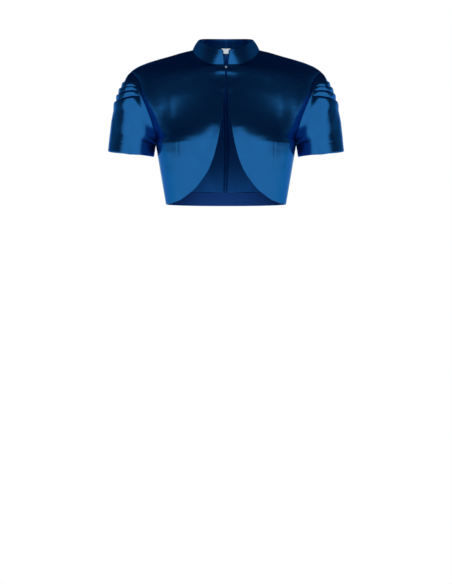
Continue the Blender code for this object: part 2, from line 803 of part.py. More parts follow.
def main():
    for obj in list(bpy.data.objects):
        bpy.data.objects.remove(obj, do_unlink=True)
    collection = bpy.data.collections.new("bolero_jacket")
    bpy.context.scene.collection.children.link(collection)
    satin = make_material("satin", SATIN, 0.38, 0.3)
    lining = make_material("lining", LINING_BLUE, 0.45)
    label = make_material("label", LABEL_WHITE, 0.8)
    silver = make_material("silver", SILVER, 0.25, 1.0)

    front = Sheet("front_left", panel_grid(-1), flip=False)
    back = Sheet("back_left", panel_grid(1), flip=True)
    rows, lift = sleeve_grid()
    sleeve = Sheet("sleeve_left", rows, flip=False, lift=lift)
    shells = [front, mirrored(front, "front_right")]
    shells += [back, mirrored(back, "back_right")]
    shells += [sleeve, mirrored(sleeve, "sleeve_right"), collar_sheet()]
    shared = seam_directions(shells)
    for sheet, directions in zip(shells, shared):
        add_wall(sheet, directions, WALL, satin, collection)

    inside_back = (back, shared[shells.index(back)])
    for sheet, wall, material in (
        (facing_sheet(*inside_back), FACING_WALL, satin),
        (lining_sheet(*inside_back), LINING_WALL, lining),
        (label_sheet(), LABEL_WALL, label),
    ):
        add_wall(sheet, sheet.normals, wall, material, collection)
    add_wire("neck_eye", eye_route(), silver, collection)
    add_wire("neck_hook", hook_route(), silver, collection)


main()
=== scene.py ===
# %% [markdown]
# # A cropped satin bolero jacket
# The jacket is shown as worn, with nobody in it. Its cloth pieces were sized beforehand as closed
# walls 1.6 mm thick. Here each piece gets its real surface: fine cloth with seams, darts, tucks and
# creases, and the sheen of duchess satin. Everything is in metres, +Z up, and the front faces -Y.

# %% Load the jacket's pieces
import math

import bmesh
import bpy
import numpy as np
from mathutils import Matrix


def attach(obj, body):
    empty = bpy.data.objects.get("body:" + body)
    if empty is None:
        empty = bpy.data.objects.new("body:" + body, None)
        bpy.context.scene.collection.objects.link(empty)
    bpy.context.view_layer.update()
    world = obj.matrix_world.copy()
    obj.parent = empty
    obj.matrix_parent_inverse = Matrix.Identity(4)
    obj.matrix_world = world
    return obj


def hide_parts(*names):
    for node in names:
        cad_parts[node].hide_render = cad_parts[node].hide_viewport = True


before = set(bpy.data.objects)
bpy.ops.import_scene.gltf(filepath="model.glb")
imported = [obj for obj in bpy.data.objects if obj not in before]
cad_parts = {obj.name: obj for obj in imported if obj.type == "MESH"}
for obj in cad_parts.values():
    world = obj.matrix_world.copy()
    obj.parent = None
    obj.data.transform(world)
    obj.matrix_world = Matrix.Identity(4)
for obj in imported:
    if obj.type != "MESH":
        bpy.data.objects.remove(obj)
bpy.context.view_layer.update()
print("pieces to dress:", ", ".join(sorted(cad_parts)))

# %% [markdown]
# ## The camera
# A packshot camera stands level with the middle of the picture and far enough away that the
# shoulders aren't enlarged by perspective. The distance and the height of what it sees give the
# lens: a 36 mm sensor lies along the picture's long side.

# %% Place the camera
VIEW_HEIGHT = 1.226
VIEW_CENTRE_Z = -0.508
CAMERA_DISTANCE = 4.2
SENSOR = 36.0

camera_data = bpy.data.cameras.new("camera")
camera_data.sensor_width = SENSOR
camera_data.lens = SENSOR * CAMERA_DISTANCE / VIEW_HEIGHT
camera = bpy.data.objects.new("camera", camera_data)
camera.location = (0.0, -CAMERA_DISTANCE, VIEW_CENTRE_Z)
camera.rotation_euler = (math.pi / 2, 0.0, 0.0)
bpy.context.scene.collection.objects.link(camera)
bpy.context.scene.camera = camera
print(f"lens {camera_data.lens:.1f} mm")

# %% [markdown]
# ## The studio
# Satin shows what stands around it more than it shows light falling on it. On the real jacket the
# upper chest, which leans back a little, mirrors a dark ceiling, and the part from the bust down
# mirrors bright walls and a bright floor. So the world is white up to a certain height and dark
# above it, and the edge between the two draws the soft line across the chest. In front the white
# wall is high. Beside the jacket, where the outer chest and the outsides of the sleeves look, it
# ends below the jacket's own height, and grey curtains hang above it. White walls are never quite
# even, and nor is the floor: their slow changes of tone make the cloth look mottled.

# %% Walls, curtains, ceiling and floor
FLOOR_Z = -1.30
FLOOR_RADIUS = 4.0
CEILING_COLOUR = (0.010, 0.027, 0.055)
EDGE_SOFTNESS = 8.0
CURTAIN_COLOUR = (0.24, 0.25, 0.28)
# In degrees: middle of the curtains' beginning beside the jacket, and its width.
CURTAIN_BEGINS = (100, 60)
CURTAIN_TOP = 30
CURTAIN_FADE = 24
WALL_TONES = (0.92, 1.14)
WALL_TONE_SCALE = 2.6
FLOOR_TONES = (0.90, 1.10)
FLOOR_TONE_SCALE = 1.6
TONE_DETAIL = 1.5
TONE_NOISE = (0.3, 0.7)
# Behind the jacket both are plain white. Columns: middle of the change, and its width.
WALL_BEHIND = (140.0, 20.0)
FLOOR_BEHIND = (0.6, 0.8)

# Columns: direction in degrees from the camera's side, height of the white wall in degrees.
WALL_HEIGHTS = (
    (0, 31),
    (15, 30),
    (25, 26),
    (35, 20),
    (45, 12),
    (55, 2),
    (65, -4),
    (75, -8),
    (85, -10),
    (95, -11),
    (115, -11),
    (135, 4),
    (150, 14),
    (180, 22),
)


def mathematics(nodes, links, operation, first, second=None):
    """A Math node on one or two values, each a socket or a number."""
    node = nodes.new("ShaderNodeMath")
    node.operation = operation
    for value, socket in ((first, node.inputs[0]), (second, node.inputs[1])):
        if isinstance(value, (int, float)):
            socket.default_value = value
        elif value is not None:
            links.new(value, socket)
    return node.outputs[0]


def soft_step(nodes, links, value, middle, softness):
    """0 well below the middle and 1 well above it."""
    node = nodes.new("ShaderNodeMapRange")
    node.interpolation_type = "SMOOTHSTEP"
    node.inputs["From Min"].default_value = middle - softness / 2
    node.inputs["From Max"].default_value = middle + softness / 2
    links.new(value, node.inputs["Value"])
    return node.outputs["Result"]


def mixed(nodes, links, share, first, second):
    """A colour mix of two values, each a socket or a colour."""
    mix = nodes.new("ShaderNodeMix")
    mix.data_type = "RGBA"
    for value, socket in ((first, mix.inputs["A"]), (second, mix.inputs["B"])):
        if isinstance(value, tuple):
            socket.default_value = (*value, 1.0)
        else:
            links.new(value, socket)
    links.new(share, mix.inputs["Factor"])
    return mix.outputs["Result"]


def wall_heights(nodes, links, direction):
    """The table of wall heights in degrees, as a ramp over the direction in degrees."""
    ramp = nodes.new("ShaderNodeValToRGB")
    stops = ramp.color_ramp.elements
    while len(stops) < len(WALL_HEIGHTS):
        stops.new(0.5)
    for stop, (degrees, height) in zip(stops, WALL_HEIGHTS):
        stop.position = degrees / 180
        grey = height / 180 + 0.5
        stop.color = (grey, grey, grey, 1.0)
    links.new(mathematics(nodes, links, "DIVIDE", direction, 180.0), ramp.inputs[0])
    grey = mathematics(nodes, links, "SUBTRACT", ramp.outputs["Color"], 0.5)
    return mathematics(nodes, links, "MULTIPLY", grey, 180.0)


def tones(nodes, links, place, scale, low, high):
    """Slow changes of tone between low and high."""
    noise = nodes.new("ShaderNodeTexNoise")
    noise.inputs["Scale"].default_value = scale
    noise.inputs["Detail"].default_value = TONE_DETAIL
    links.new(place, noise.inputs["Vector"])
    spread = nodes.new("ShaderNodeMapRange")
    for name, value in zip(("From Min", "From Max", "To Min", "To Max"), (*TONE_NOISE, low, high)):
        spread.inputs[name].default_value = value
    links.new(noise.outputs["Fac"], spread.inputs["Value"])
    return spread.outputs["Result"]


def build_world():
    """White walls of uneven height and tone, with curtains above them and a dark ceiling."""
    world = bpy.data.worlds.new("studio")
    world.use_nodes = True
    nodes, links = world.node_tree.nodes, world.node_tree.links
    place = nodes.new("ShaderNodeTexCoord").outputs["Generated"]
    split = nodes.new("ShaderNodeSeparateXYZ")
    links.new(place, split.inputs[0])
    sideways = mathematics(nodes, links, "ABSOLUTE", split.outputs["X"])
    forward = mathematics(nodes, links, "MULTIPLY", split.outputs["Y"], -1.0)
    turn = mathematics(nodes, links, "ARCTAN2", sideways, forward)
    direction = mathematics(nodes, links, "DEGREES", turn)
    angle = mathematics(nodes, links, "ARCSINE", split.outputs["Z"])
    height = mathematics(nodes, links, "DEGREES", angle)

    behind = soft_step(nodes, links, direction, *WALL_BEHIND)
    uneven = tones(nodes, links, place, WALL_TONE_SCALE, *WALL_TONES)
    wall = mixed(nodes, links, behind, uneven, (1.0, 1.0, 1.0))
    over = mathematics(nodes, links, "SUBTRACT", height, wall_heights(nodes, links, direction))
    ceiling = soft_step(nodes, links, over, 0.0, EDGE_SOFTNESS)
    beside = soft_step(nodes, links, direction, *CURTAIN_BEGINS)
    curtain = mixed(nodes, links, beside, CEILING_COLOUR, CURTAIN_COLOUR)
    top = soft_step(nodes, links, height, CURTAIN_TOP, CURTAIN_FADE)
    upper = mixed(nodes, links, top, curtain, CEILING_COLOUR)
    links.new(mixed(nodes, links, ceiling, wall, upper), nodes["Background"].inputs[0])
    bpy.context.scene.world = world


def add_floor():
    """A white floor that is lit from within, as a light table is."""
    bpy.ops.mesh.primitive_circle_add(
        vertices=96, radius=FLOOR_RADIUS, fill_type="NGON", location=(0.0, 0.0, FLOOR_Z)
    )
    floor = bpy.context.object
    floor.name = "floor"
    material = bpy.data.materials.new("light_table")
    material.use_nodes = True
    nodes, links = material.node_tree.nodes, material.node_tree.links
    shader = nodes["Principled BSDF"]
    shader.inputs["Base Color"].default_value = (0.0, 0.0, 0.0, 1.0)
    shader.inputs["Specular IOR Level"].default_value = 0.0
    shader.inputs["Emission Strength"].default_value = 1.0
    place = nodes.new("ShaderNodeTexCoord").outputs["Object"]
    split = nodes.new("ShaderNodeSeparateXYZ")
    links.new(place, split.inputs[0])
    behind = soft_step(nodes, links, split.outputs["Y"], *FLOOR_BEHIND)
    uneven = tones(nodes, links, place, FLOOR_TONE_SCALE, *FLOOR_TONES)
    links.new(mixed(nodes, links, behind, uneven, (1.0, 1.0, 1.0)), shader.inputs["Emission Color"])
    floor.data.materials.append(material)


build_world()
add_floor()
bpy.context.scene.view_settings.view_transform = "Standard"
print("studio ready, floor at", FLOOR_Z)

# %% [markdown]
# ## The cut of the jacket, as tables
# A draughtsman would draw the worn jacket as a few measured curves: the neckline, the shoulder
# seam, the armhole, the curved front edge and how deep the chest and back are. These tables are
# those curves. They are the same ones that the solid pieces were built from, so the fine cloth
# falls exactly on its solid.

# %% Sizes and curves of the body
HEM_Z = -0.3245
UNDERARM_Z = -0.200
HEM_HALF_WIDTH = 0.126
BUST_HALF_WIDTH = 0.147
SHOULDER_TIP_Z = -0.046

# Height number t of a row of the body: 0 at the hem, 1 at the shoulder seam.
T_UNDERARM = 0.40
T_PIT = 0.78
T_NAPE = 0.80
T_FACING = 0.095
T_FASTENER = 0.768

# Columns: t, x (half the gap between the fronts), z.
FRONT_EDGE = (
    (0.000, 0.1160, -0.3245),
    (0.054, 0.0941, -0.3177),
    (0.097, 0.0788, -0.3079),
    (0.135, 0.0662, -0.2983),
    (0.196, 0.0491, -0.2786),
    (0.253, 0.0360, -0.2587),
    (0.305, 0.0271, -0.2386),
    (0.404, 0.0158, -0.1976),
    (0.506, 0.0088, -0.1555),
    (0.556, 0.0055, -0.1344),
    (0.626, 0.0035, -0.1046),
    (0.707, 0.0012, -0.0705),
    (0.760, 0.0006, -0.0449),
    (0.780, 0.0047, -0.0365),
)
FRONTS_MEET = 0.0006

# Columns: t, z.
BACK_EDGE = (
    (0.000, -0.3245),
    (0.095, -0.2950),
    (0.200, -0.2600),
    (0.300, -0.2235),
    (0.400, -0.1855),
    (0.600, -0.0980),
    (0.800, -0.0025),
)

# Columns: x, z.
SHOULDER_LINE = (
    (0.070, -0.0010),
    (0.090, -0.0055),
    (0.118, -0.0135),
    (0.147, -0.0215),
    (0.170, -0.0290),
    (0.189, -0.0380),
    (0.200, -0.0460),
)

# Columns: z, y on the centre line.
FRONT_DEPTH = (
    (-0.3245, -0.0940),
    (-0.3000, -0.1080),
    (-0.2700, -0.1195),
    (-0.2400, -0.1235),
    (-0.2100, -0.1212),
    (-0.1800, -0.1172),
    (-0.1650, -0.1135),
    (-0.1500, -0.1080),
    (-0.1200, -0.0953),
    (-0.0900, -0.0826),
    (-0.0615, -0.0712),
    (-0.0365, -0.0620),
)
BACK_DEPTH = (
    (-0.3245, 0.0800),
    (-0.2900, 0.0815),
    (-0.2500, 0.0860),
    (-0.2100, 0.0940),
    (-0.1700, 0.1015),
    (-0.1300, 0.1050),
    (-0.0950, 0.1035),
    (-0.0600, 0.0965),
    (-0.0300, 0.0850),
    (-0.0010, 0.0700),
)

# Left half of the neckline, from centre front to centre back. Columns: q, x, y, z.
NECKLINE = (
    (0.00, 0.0047, -0.0620, -0.0365),
    (0.10, 0.0190, -0.0600, -0.0365),
    (0.21, 0.0350, -0.0520, -0.0335),
    (0.32, 0.0500, -0.0385, -0.0255),
    (0.42, 0.0620, -0.0210, -0.0145),
    (0.52, 0.0700, 0.0000, -0.0010),
    (0.62, 0.0690, 0.0200, -0.0005),
    (0.74, 0.0580, 0.0425, -0.0010),
    (0.87, 0.0330, 0.0620, -0.0020),
    (1.00, 0.0000, 0.0700, -0.0025),
)
Q_SHOULDER = 0.52

# The armhole, an oval seen from the side. Columns: z, x at the front, x at the back.
ARMHOLE_HALF_DEPTH = 0.051
ARMHOLE_X = (
    (-0.200, 0.1470, 0.1470),
    (-0.191, 0.1447, 0.1480),
    (-0.178, 0.1470, 0.1525),
    (-0.154, 0.1535, 0.1620),
    (-0.130, 0.1625, 0.1710),
    (-0.111, 0.1700, 0.1775),
    (-0.092, 0.1770, 0.1820),
    (-0.073, 0.1815, 0.1860),
    (-0.058, 0.1880, 0.1910),
    (-0.046, 0.2000, 0.2000),
)

# How square a row is. 2 is an ellipse, and the bust makes it squarer.
SQUARE = 2.2
SQUARER_AT_BUST = 0.35
BUST_SQUARE_RISES = (0.0, 0.3)
BUST_SQUARE_FADES = (0.4, 0.9)

# Above the underarm a row's ellipse runs past the armhole by this share.
RUN_PAST_ARMHOLE = 0.14
RUN_PAST_FULL = 0.75

# How far the chest and the shoulder blades swell between their edges, and over which t.
CHEST_SWELL = 0.009
CHEST_SWELL_RISES = (0.45, 0.78)
CHEST_SWELL_FADES = (0.86, 1.0)
LEVEL_ROWS_FADE = (0.8, 1.0)
RIDGE_RISES = (0.70, 1.0)

# The rise over the bust.
CUP_X = 0.085
CUP_Z = -0.225
CUP_RADIUS = 0.050
CUP_RISE = 0.0060
# The front stands further forward towards the armhole, over this range of t, and then turns in.
BUST_SIDE = 0.030
BUST_SIDE_RISES = (0.25, 0.45)
BUST_SIDE_END = 0.90
BUST_SIDE_SKEW = 1.3
BUST_SIDE_TURN = 8


def curve_through(table):
    """A smooth curve over the table's first column, through the other columns of its rows."""
    rows = np.array(table, float)
    keys, values = rows[:, 0], rows[:, 1:]
    steps = np.diff(keys)[:, None]
    slopes = np.diff(values, axis=0) / steps
    inner = (slopes[:-1] * steps[1:] + slopes[1:] * steps[:-1]) / (steps[1:] + steps[:-1])
    tangents = np.vstack([slopes[:1], inner, slopes[-1:]])

    def at(key):
        i = int(np.clip(np.searchsorted(keys, key) - 1, 0, len(steps) - 1))
        h = steps[i, 0]
        u = (key - keys[i]) / h
        start = (1 + 2 * u) * (1 - u) ** 2 * values[i] + u * (1 - u) ** 2 * h * tangents[i]
        end = u * u * (3 - 2 * u) * values[i + 1] + u * u * (u - 1) * h * tangents[i + 1]
        return start + end

    return at


def smoothstep(low, high, value):
    """0 below low and 1 above high, with a soft ramp between them. value may be an array."""
    u = np.clip((value - low) / (high - low), 0.0, 1.0)
    return u * u * (3 - 2 * u)


front_edge = curve_through(FRONT_EDGE)
back_edge = curve_through(BACK_EDGE)
shoulder_line = curve_through(SHOULDER_LINE)
front_depth = curve_through(FRONT_DEPTH)
back_depth = curve_through(BACK_DEPTH)
neckline = curve_through(NECKLINE)
armhole_x = curve_through(ARMHOLE_X)
print("centre front stands forward by", front_depth(CUP_Z)[0])

# %% [markdown]
# ## The surface of a front or a back
# A body panel is a net of threads. Each row runs from the panel's inner edge (the front edge or
# the centre back, then the neckline) to its outer edge (the side seam, then the armhole), bent
# like part of a squared ellipse. One function gives any point of that net.


# %% A point of a body panel
def armhole(a, toward):
    """Point of the left armhole. toward is -1 at the front and 1 at the back."""
    middle = (UNDERARM_Z + SHOULDER_TIP_Z) / 2
    half = (SHOULDER_TIP_Z - UNDERARM_Z) / 2
    z = middle - half * math.cos(math.pi * a)
    x = armhole_x(z)[0 if toward < 0 else 1]
    return np.array((x, toward * ARMHOLE_HALF_DEPTH * math.sin(math.pi * a), z))


def outer_edge(t, toward):
    """Point of the side seam or, above the underarm, of the armhole."""
    if t > T_UNDERARM:
        return armhole((t - T_UNDERARM) / (1 - T_UNDERARM), toward)
    u = t / T_UNDERARM
    x = HEM_HALF_WIDTH + (BUST_HALF_WIDTH - HEM_HALF_WIDTH) * u
    return np.array((x, 0.0, HEM_Z + (UNDERARM_Z - HEM_Z) * u))


def section_shape(t):
    """How square a row is (2 is an ellipse), and how far its ellipse runs past its outer edge."""
    rise = SQUARER_AT_BUST * smoothstep(*BUST_SQUARE_RISES, t)
    fall = SQUARER_AT_BUST * smoothstep(*BUST_SQUARE_FADES, t)
    return SQUARE + rise - fall, 1.0 + RUN_PAST_ARMHOLE * smoothstep(T_UNDERARM, RUN_PAST_FULL, t)


def inner_edge(t, toward):
    """Point of a panel's inner edge, and whether its y follows the centre line's depth."""
    if toward < 0 and t <= T_PIT:
        x, z = front_edge(t)
        return np.array((max(x, FRONTS_MEET), front_depth(z)[0], z)), True
    if toward < 0:
        return neckline(Q_SHOULDER * (t - T_PIT) / (1 - T_PIT)), False
    if t <= T_NAPE:
        z = back_edge(t)[0]
        return np.array((0.0, back_depth(z)[0], z)), True
    return neckline(1 - (1 - Q_SHOULDER) * (t - T_NAPE) / (1 - T_NAPE)), False


def ridge_lift(x):
    """How far the shoulder seam lies above a straight line from neck to tip."""
    (neck_x, neck_z), (tip_x, tip_z) = SHOULDER_LINE[0], SHOULDER_LINE[-1]
    x = min(tip_x, max(neck_x, x))
    return shoulder_line(x)[0] - neck_z - (tip_z - neck_z) * (x - neck_x) / (tip_x - neck_x)


def bust_side(s, t):
    """Extra forward stand of the front between the bust and the armhole."""
    low, peak = BUST_SIDE_RISES
    fall = min(1.0, max(0.0, (BUST_SIDE_END - t) / (BUST_SIDE_END - peak)))
    across = max(0.0, s) ** BUST_SIDE_SKEW * (1 - s**BUST_SIDE_TURN)
    return BUST_SIDE * smoothstep(low, peak, t) * fall * across


def panel_point(s, t, toward):
    """Point of a left-hand panel: s is 0 at its inner edge and 1 at its outer edge."""
    inner, on_centre_profile = inner_edge(t, toward)
    outer = outer_edge(t, toward)
    square, run_past = section_shape(t)
    reach = run_past * outer[0]
    low = math.asin(min(1.0, (inner[0] / reach) ** (square / 2)))
    high = math.asin((1 / run_past) ** (square / 2))
    angle = low + (high - low) * s

    def stand(at):
        return max(0.0, math.cos(at)) ** (2 / square)

    inner_y = inner[1]
    if on_centre_profile:
        share = (stand(low) - stand(high)) / (1 - stand(high))
        inner_y = outer[1] + (inner[1] - outer[1]) * share
    x = reach * math.sin(angle) ** (2 / square)
    share = (stand(angle) - stand(high)) / (stand(low) - stand(high))
    y = outer[1] + (inner_y - outer[1]) * share
    swell = smoothstep(*CHEST_SWELL_RISES, t) * (1 - smoothstep(*CHEST_SWELL_FADES, t))
    y += toward * CHEST_SWELL * swell * math.sin(math.pi * s)
    across = (x - inner[0]) / (outer[0] - inner[0])
    z = inner[2] + (outer[2] - inner[2]) * (s + (across - s) * smoothstep(*LEVEL_ROWS_FADE, t))
    z += ridge_lift(x) * smoothstep(*RIDGE_RISES, t)
    if toward < 0:
        far = ((x - CUP_X) ** 2 + (z - CUP_Z) ** 2) / CUP_RADIUS**2
        y -= CUP_RISE * math.exp(-far) * (1 - s**BUST_SIDE_TURN) + bust_side(s, t)
    return np.array((x, y, z))


print("bust point at", np.round(panel_point(0.45, 0.27, -1), 3))

# %% [markdown]
# ## From a net of points to cloth
# Every piece is a grid of points. Close to an edge the grid is finer, because the cloth turns in
# there: a seam is a shallow groove where two pieces dip, and a free edge rolls over. Creases are
# soft ridges (or troughs, with a minus) along short lines, each with its own width and height. The
# finished surface gets its thickness from Solidify, and a small Bevel rounds its rim. The map of
# each piece is in metres of cloth, so that the weave has its real size on all of them.

# %% Helpers for cloth
CLOTH_THICKNESS = 0.0013
EDGE_STEPS = (0.0, 0.0004, 0.0008, 0.0013, 0.0020, 0.0030)
# Where a net goes on past its end, its numbers stop here and aren't crowded at that end.
PLAIN_END = 0.985
SEAM_WIDTH = 0.0022
SEAM_DIP = 0.0010
RIM_ROUND = 0.00035
RIM_ANGLE = math.radians(50)
MERGE = 0.000002
TINY = 1e-12
# What is left of a crease's height at its ends.
CREASE_END = 0.04


def edge_dense(count, length, low=0.0, high=1.0):
    """Numbers from low to high that crowd at both ends, for a piece of that length in metres."""
    near = [e / length for e in EDGE_STEPS]
    middle = np.linspace(near[-1], 1 - near[-1], count)
    unit = np.array([*near[:-1], *middle, *(1 - n for n in near[-2::-1])])
    return low + (high - low) * unit


def arc_lengths(grid, axis):
    """Length along a grid's rows (axis 1) or columns (axis 0), from each one's start."""
    steps = np.linalg.norm(np.diff(grid, axis=axis), axis=2)
    zero = np.zeros_like(np.take(steps, [0], axis=axis))
    return np.concatenate([zero, np.cumsum(steps, axis=axis)], axis=axis)


def grid_normals(grid):
    """Outward normals of a grid whose rows run from its inner to its outer edge."""
    rows = np.gradient(grid, axis=0)
    columns = np.gradient(grid, axis=1)
    normals = np.cross(columns, rows)
    length = np.linalg.norm(normals, axis=2, keepdims=True)
    return normals / np.maximum(length, TINY)


def crease_heights(p, q, creases):
    """Height of the creases at places (p, q). A crease: p0, q0, p1, q1, width, height."""
    height = np.zeros_like(p)
    for p0, q0, p1, q1, width, rise in creases:
        run = np.array((p1 - p0, q1 - q0))
        along = ((p - p0) * run[0] + (q - q0) * run[1]) / (run @ run)
        near = np.clip(along, 0.0, 1.0)
        far = np.hypot(p - p0 - near * run[0], q - q0 - near * run[1])
        taper = np.clip(1 + CREASE_END - (2 * near - 1) ** 2, 0.0, 1.0)
        height += rise * taper * np.exp(-((far / width) ** 2))
    return height


def seam_dip(distance, width=SEAM_WIDTH, dip=SEAM_DIP):
    """How far the cloth sinks near a seam."""
    return -dip * np.clip(1 - distance / width, 0.0, 1.0) ** 2


def cloth_area(grid):
    """Area of a grid in square metres."""
    a, b, c, d = grid[:-1, :-1], grid[:-1, 1:], grid[1:, 1:], grid[1:, :-1]
    halves = np.cross(b - a, c - a), np.cross(c - a, d - a)
    return float(sum(np.linalg.norm(half, axis=2).sum() / 2 for half in halves))


def add_grid(points, faces, flat, grid, flip):
    """Adds one grid's points, faces and map to those of a piece."""
    rows, columns = grid.shape[:2]
    number = np.arange(rows * columns).reshape(rows, columns) + sum(len(p) for p in points)
    corners = [number[:-1, :-1], number[:-1, 1:], number[1:, 1:], number[1:, :-1]]
    quads = np.stack([c.ravel() for c in corners], axis=1)
    faces.append(quads[:, ::-1] if flip else quads)
    points.append(grid.reshape(-1, 3))
    across, along = arc_lengths(grid, 1), arc_lengths(grid, 0)
    middle = across[:, columns // 2 : columns // 2 + 1]
    flat.append(np.stack([(across - middle).ravel(), along.ravel()], axis=1))


def make_cloth(name, grids, material, flip=False, thickness=CLOTH_THICKNESS):
    """A cloth piece from its outer surface, one grid or several that share an edge."""
    points, faces, flat = [], [], []
    for grid in grids:
        add_grid(points, faces, flat, grid, flip)
    points, faces, flat = np.vstack(points), np.vstack(faces), np.vstack(flat)
    mesh = bpy.data.meshes.new(name)
    mesh.from_pydata(points.tolist(), [], faces.tolist())
    layer = mesh.uv_layers.new(name="cloth")
    layer.data.foreach_set("uv", flat[faces.ravel()].astype(np.float32).ravel())
    bm = bmesh.new()
    bm.from_mesh(mesh)
    bmesh.ops.remove_doubles(bm, verts=bm.verts, dist=MERGE)
    bm.to_mesh(mesh)
    bm.free()
    mesh.materials.append(material)
    mesh.shade_smooth()
    piece = bpy.data.objects.new(name, mesh)
    bpy.context.scene.collection.objects.link(piece)
    solid = piece.modifiers.new("thickness", "SOLIDIFY")
    solid.thickness = thickness
    solid.offset = -1.0
    rim = piece.modifiers.new("rim", "BEVEL")
    rim.width = RIM_ROUND
    rim.segments = 2
    rim.limit_method = "ANGLE"
    rim.angle_limit = RIM_ANGLE
    return piece


def mirrored(grid):
    """The same grid on the wearer's right."""
    return grid * np.array((-1.0, 1.0, 1.0))


def declare(piece, grids, node):
    """Attaches a cloth piece to the root, hides the solid it replaces and prints its cut size."""
    width = max(float(arc_lengths(grid, 1)[:, -1].max()) for grid in grids)
    length = sum(float(arc_lengths(grid, 0)[-1, grid.shape[1] // 2]) for grid in grids[:2])
    area = sum(cloth_area(grid) for grid in grids)
    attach(piece, "root")
    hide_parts(node)
    area = min(area, width * length)
    print(f"{piece.name}: cut {width:.3f} x {length:.3f} m, area {area:.4f}")


print("cloth helpers ready")

# %% [markdown]
# ## Duchess satin
# Satin floats its warp threads over several weft threads, so the surface is nearly all one
# direction of smooth thread: it mirrors broadly, tinted by the dye. A largely metallic Principled
# shader gives that tinted mirror, and the rest of it the deep blue seen where nothing bright is
# mirrored. Seen edge on, the threads shade each other, so the specular tint darkens that view. The
# weft's uneven threads are a noise stretched along the cloth, which moves the bump and the
# roughness; a fine wave is the weave itself. The hem's facing is the same satin turned inside,
# duller, and its darker blue is painted shade.

# %% Satin
SATIN_BLUE = (0.0135, 0.120, 0.345)
SATIN_DEEP = (0.0105, 0.104, 0.310)
SATIN_EDGE = (0.20, 0.48, 0.80)
# The facing's two blues are the satin's blues darkened: painted shade for its place inside the
# back.
FACING_SHADED_BLUE = (0.0110, 0.058, 0.260)
FACING_SHADED_DEEP = (0.0095, 0.051, 0.235)
THREAD_PITCH = 0.0005
SATIN_METAL = 0.92
SATIN_GLOSS = (0.20, 0.28)
FACING_METAL = 0.80
FACING_GLOSS = (0.45, 0.55)

# Features per metre of cloth, across and along.
TONE_SCALE = (9.0, 14.0)
SLUB_SCALE = (45.0, 1400.0)
HAND_SCALE = (22.0, 30.0)
PLAIN_DETAIL = 2.0
# The share of the brighter blue, from the noise's low end to its high end.
TONE_SHARE = (0.2, 1.3)

# Bumps: strength and depth in metres.
HAND_BUMP = (0.5, 0.0011)
SLUB_BUMP = (0.25, 0.00008)
WEAVE_BUMP = (0.2, 0.00004)


def shader_material(name):
    """A new material, its nodes, its links and its Principled shader."""
    material = bpy.data.materials.new(name)
    material.use_nodes = True
    tree = material.node_tree
    return material, tree.nodes, tree.links, tree.nodes["Principled BSDF"]


def stretched_noise(nodes, links, scale, detail=3.0):
    """Noise over the cloth's map, in features per metre across and along."""
    place = nodes.new("ShaderNodeTexCoord")
    stretch = nodes.new("ShaderNodeMapping")
    stretch.inputs["Scale"].default_value = (*scale, 1.0)
    noise = nodes.new("ShaderNodeTexNoise")
    noise.inputs["Scale"].default_value = 1.0
    noise.inputs["Detail"].default_value = detail
    links.new(place.outputs["UV"], stretch.inputs["Vector"])
    links.new(stretch.outputs[0], noise.inputs["Vector"])
    return noise


def weave_wave(nodes, links, pitch, direction="X"):
    """Fine bands with the threads' pitch."""
    place = nodes.new("ShaderNodeTexCoord")
    wave = nodes.new("ShaderNodeTexWave")
    wave.wave_type = "BANDS"
    wave.bands_direction = direction
    wave.inputs["Scale"].default_value = math.pi / (20.0 * pitch)
    wave.inputs["Distortion"].default_value = 0.6
    wave.inputs["Detail"].default_value = 1.0
    links.new(place.outputs["UV"], wave.inputs["Vector"])
    return wave


def bump_from(nodes, links, height, size, under=None):
    """A bump node over another one. size is its strength and its depth."""
    bump = nodes.new("ShaderNodeBump")
    bump.inputs["Strength"].default_value, bump.inputs["Distance"].default_value = size
    links.new(height, bump.inputs["Height"])
    if under is not None:
        links.new(under.outputs["Normal"], bump.inputs["Normal"])
    return bump


def ranged(nodes, links, value, low, high):
    """The value, brought from 0..1 to low..high."""
    node = nodes.new("ShaderNodeMapRange")
    node.inputs["To Min"].default_value = low
    node.inputs["To Max"].default_value = high
    links.new(value, node.inputs["Value"])
    return node.outputs["Result"]


def satin_material(name, deep, blue, gloss, metallic):
    """Satin between two blues. gloss is the range of its roughness."""
    material, nodes, links, shader = shader_material(name)
    shader.inputs["Metallic"].default_value = metallic
    shader.inputs["Specular Tint"].default_value = (*SATIN_EDGE, 1.0)
    tone = stretched_noise(nodes, links, TONE_SCALE)
    share = ranged(nodes, links, tone.outputs["Fac"], *TONE_SHARE)
    links.new(mixed(nodes, links, share, deep, blue), shader.inputs["Base Color"])
    slub = stretched_noise(nodes, links, SLUB_SCALE, PLAIN_DETAIL)
    links.new(ranged(nodes, links, slub.outputs["Fac"], *gloss), shader.inputs["Roughness"])
    hand = stretched_noise(nodes, links, HAND_SCALE, PLAIN_DETAIL)
    soft = bump_from(nodes, links, hand.outputs["Fac"], HAND_BUMP)
    thread = bump_from(nodes, links, slub.outputs["Fac"], SLUB_BUMP, soft)
    weave = weave_wave(nodes, links, THREAD_PITCH)
    fine = bump_from(nodes, links, weave.outputs["Fac"], WEAVE_BUMP, thread)
    links.new(fine.outputs["Normal"], shader.inputs["Normal"])
    return material


satin = satin_material("satin_cloth", SATIN_DEEP, SATIN_BLUE, SATIN_GLOSS, SATIN_METAL)
# The facing's satin takes the darker blues, which are painted shade.
shaded_facing_satin = satin_material("shaded_facing_satin", FACING_SHADED_DEEP, FACING_SHADED_BLUE, FACING_GLOSS, FACING_METAL)
print("satin ready")
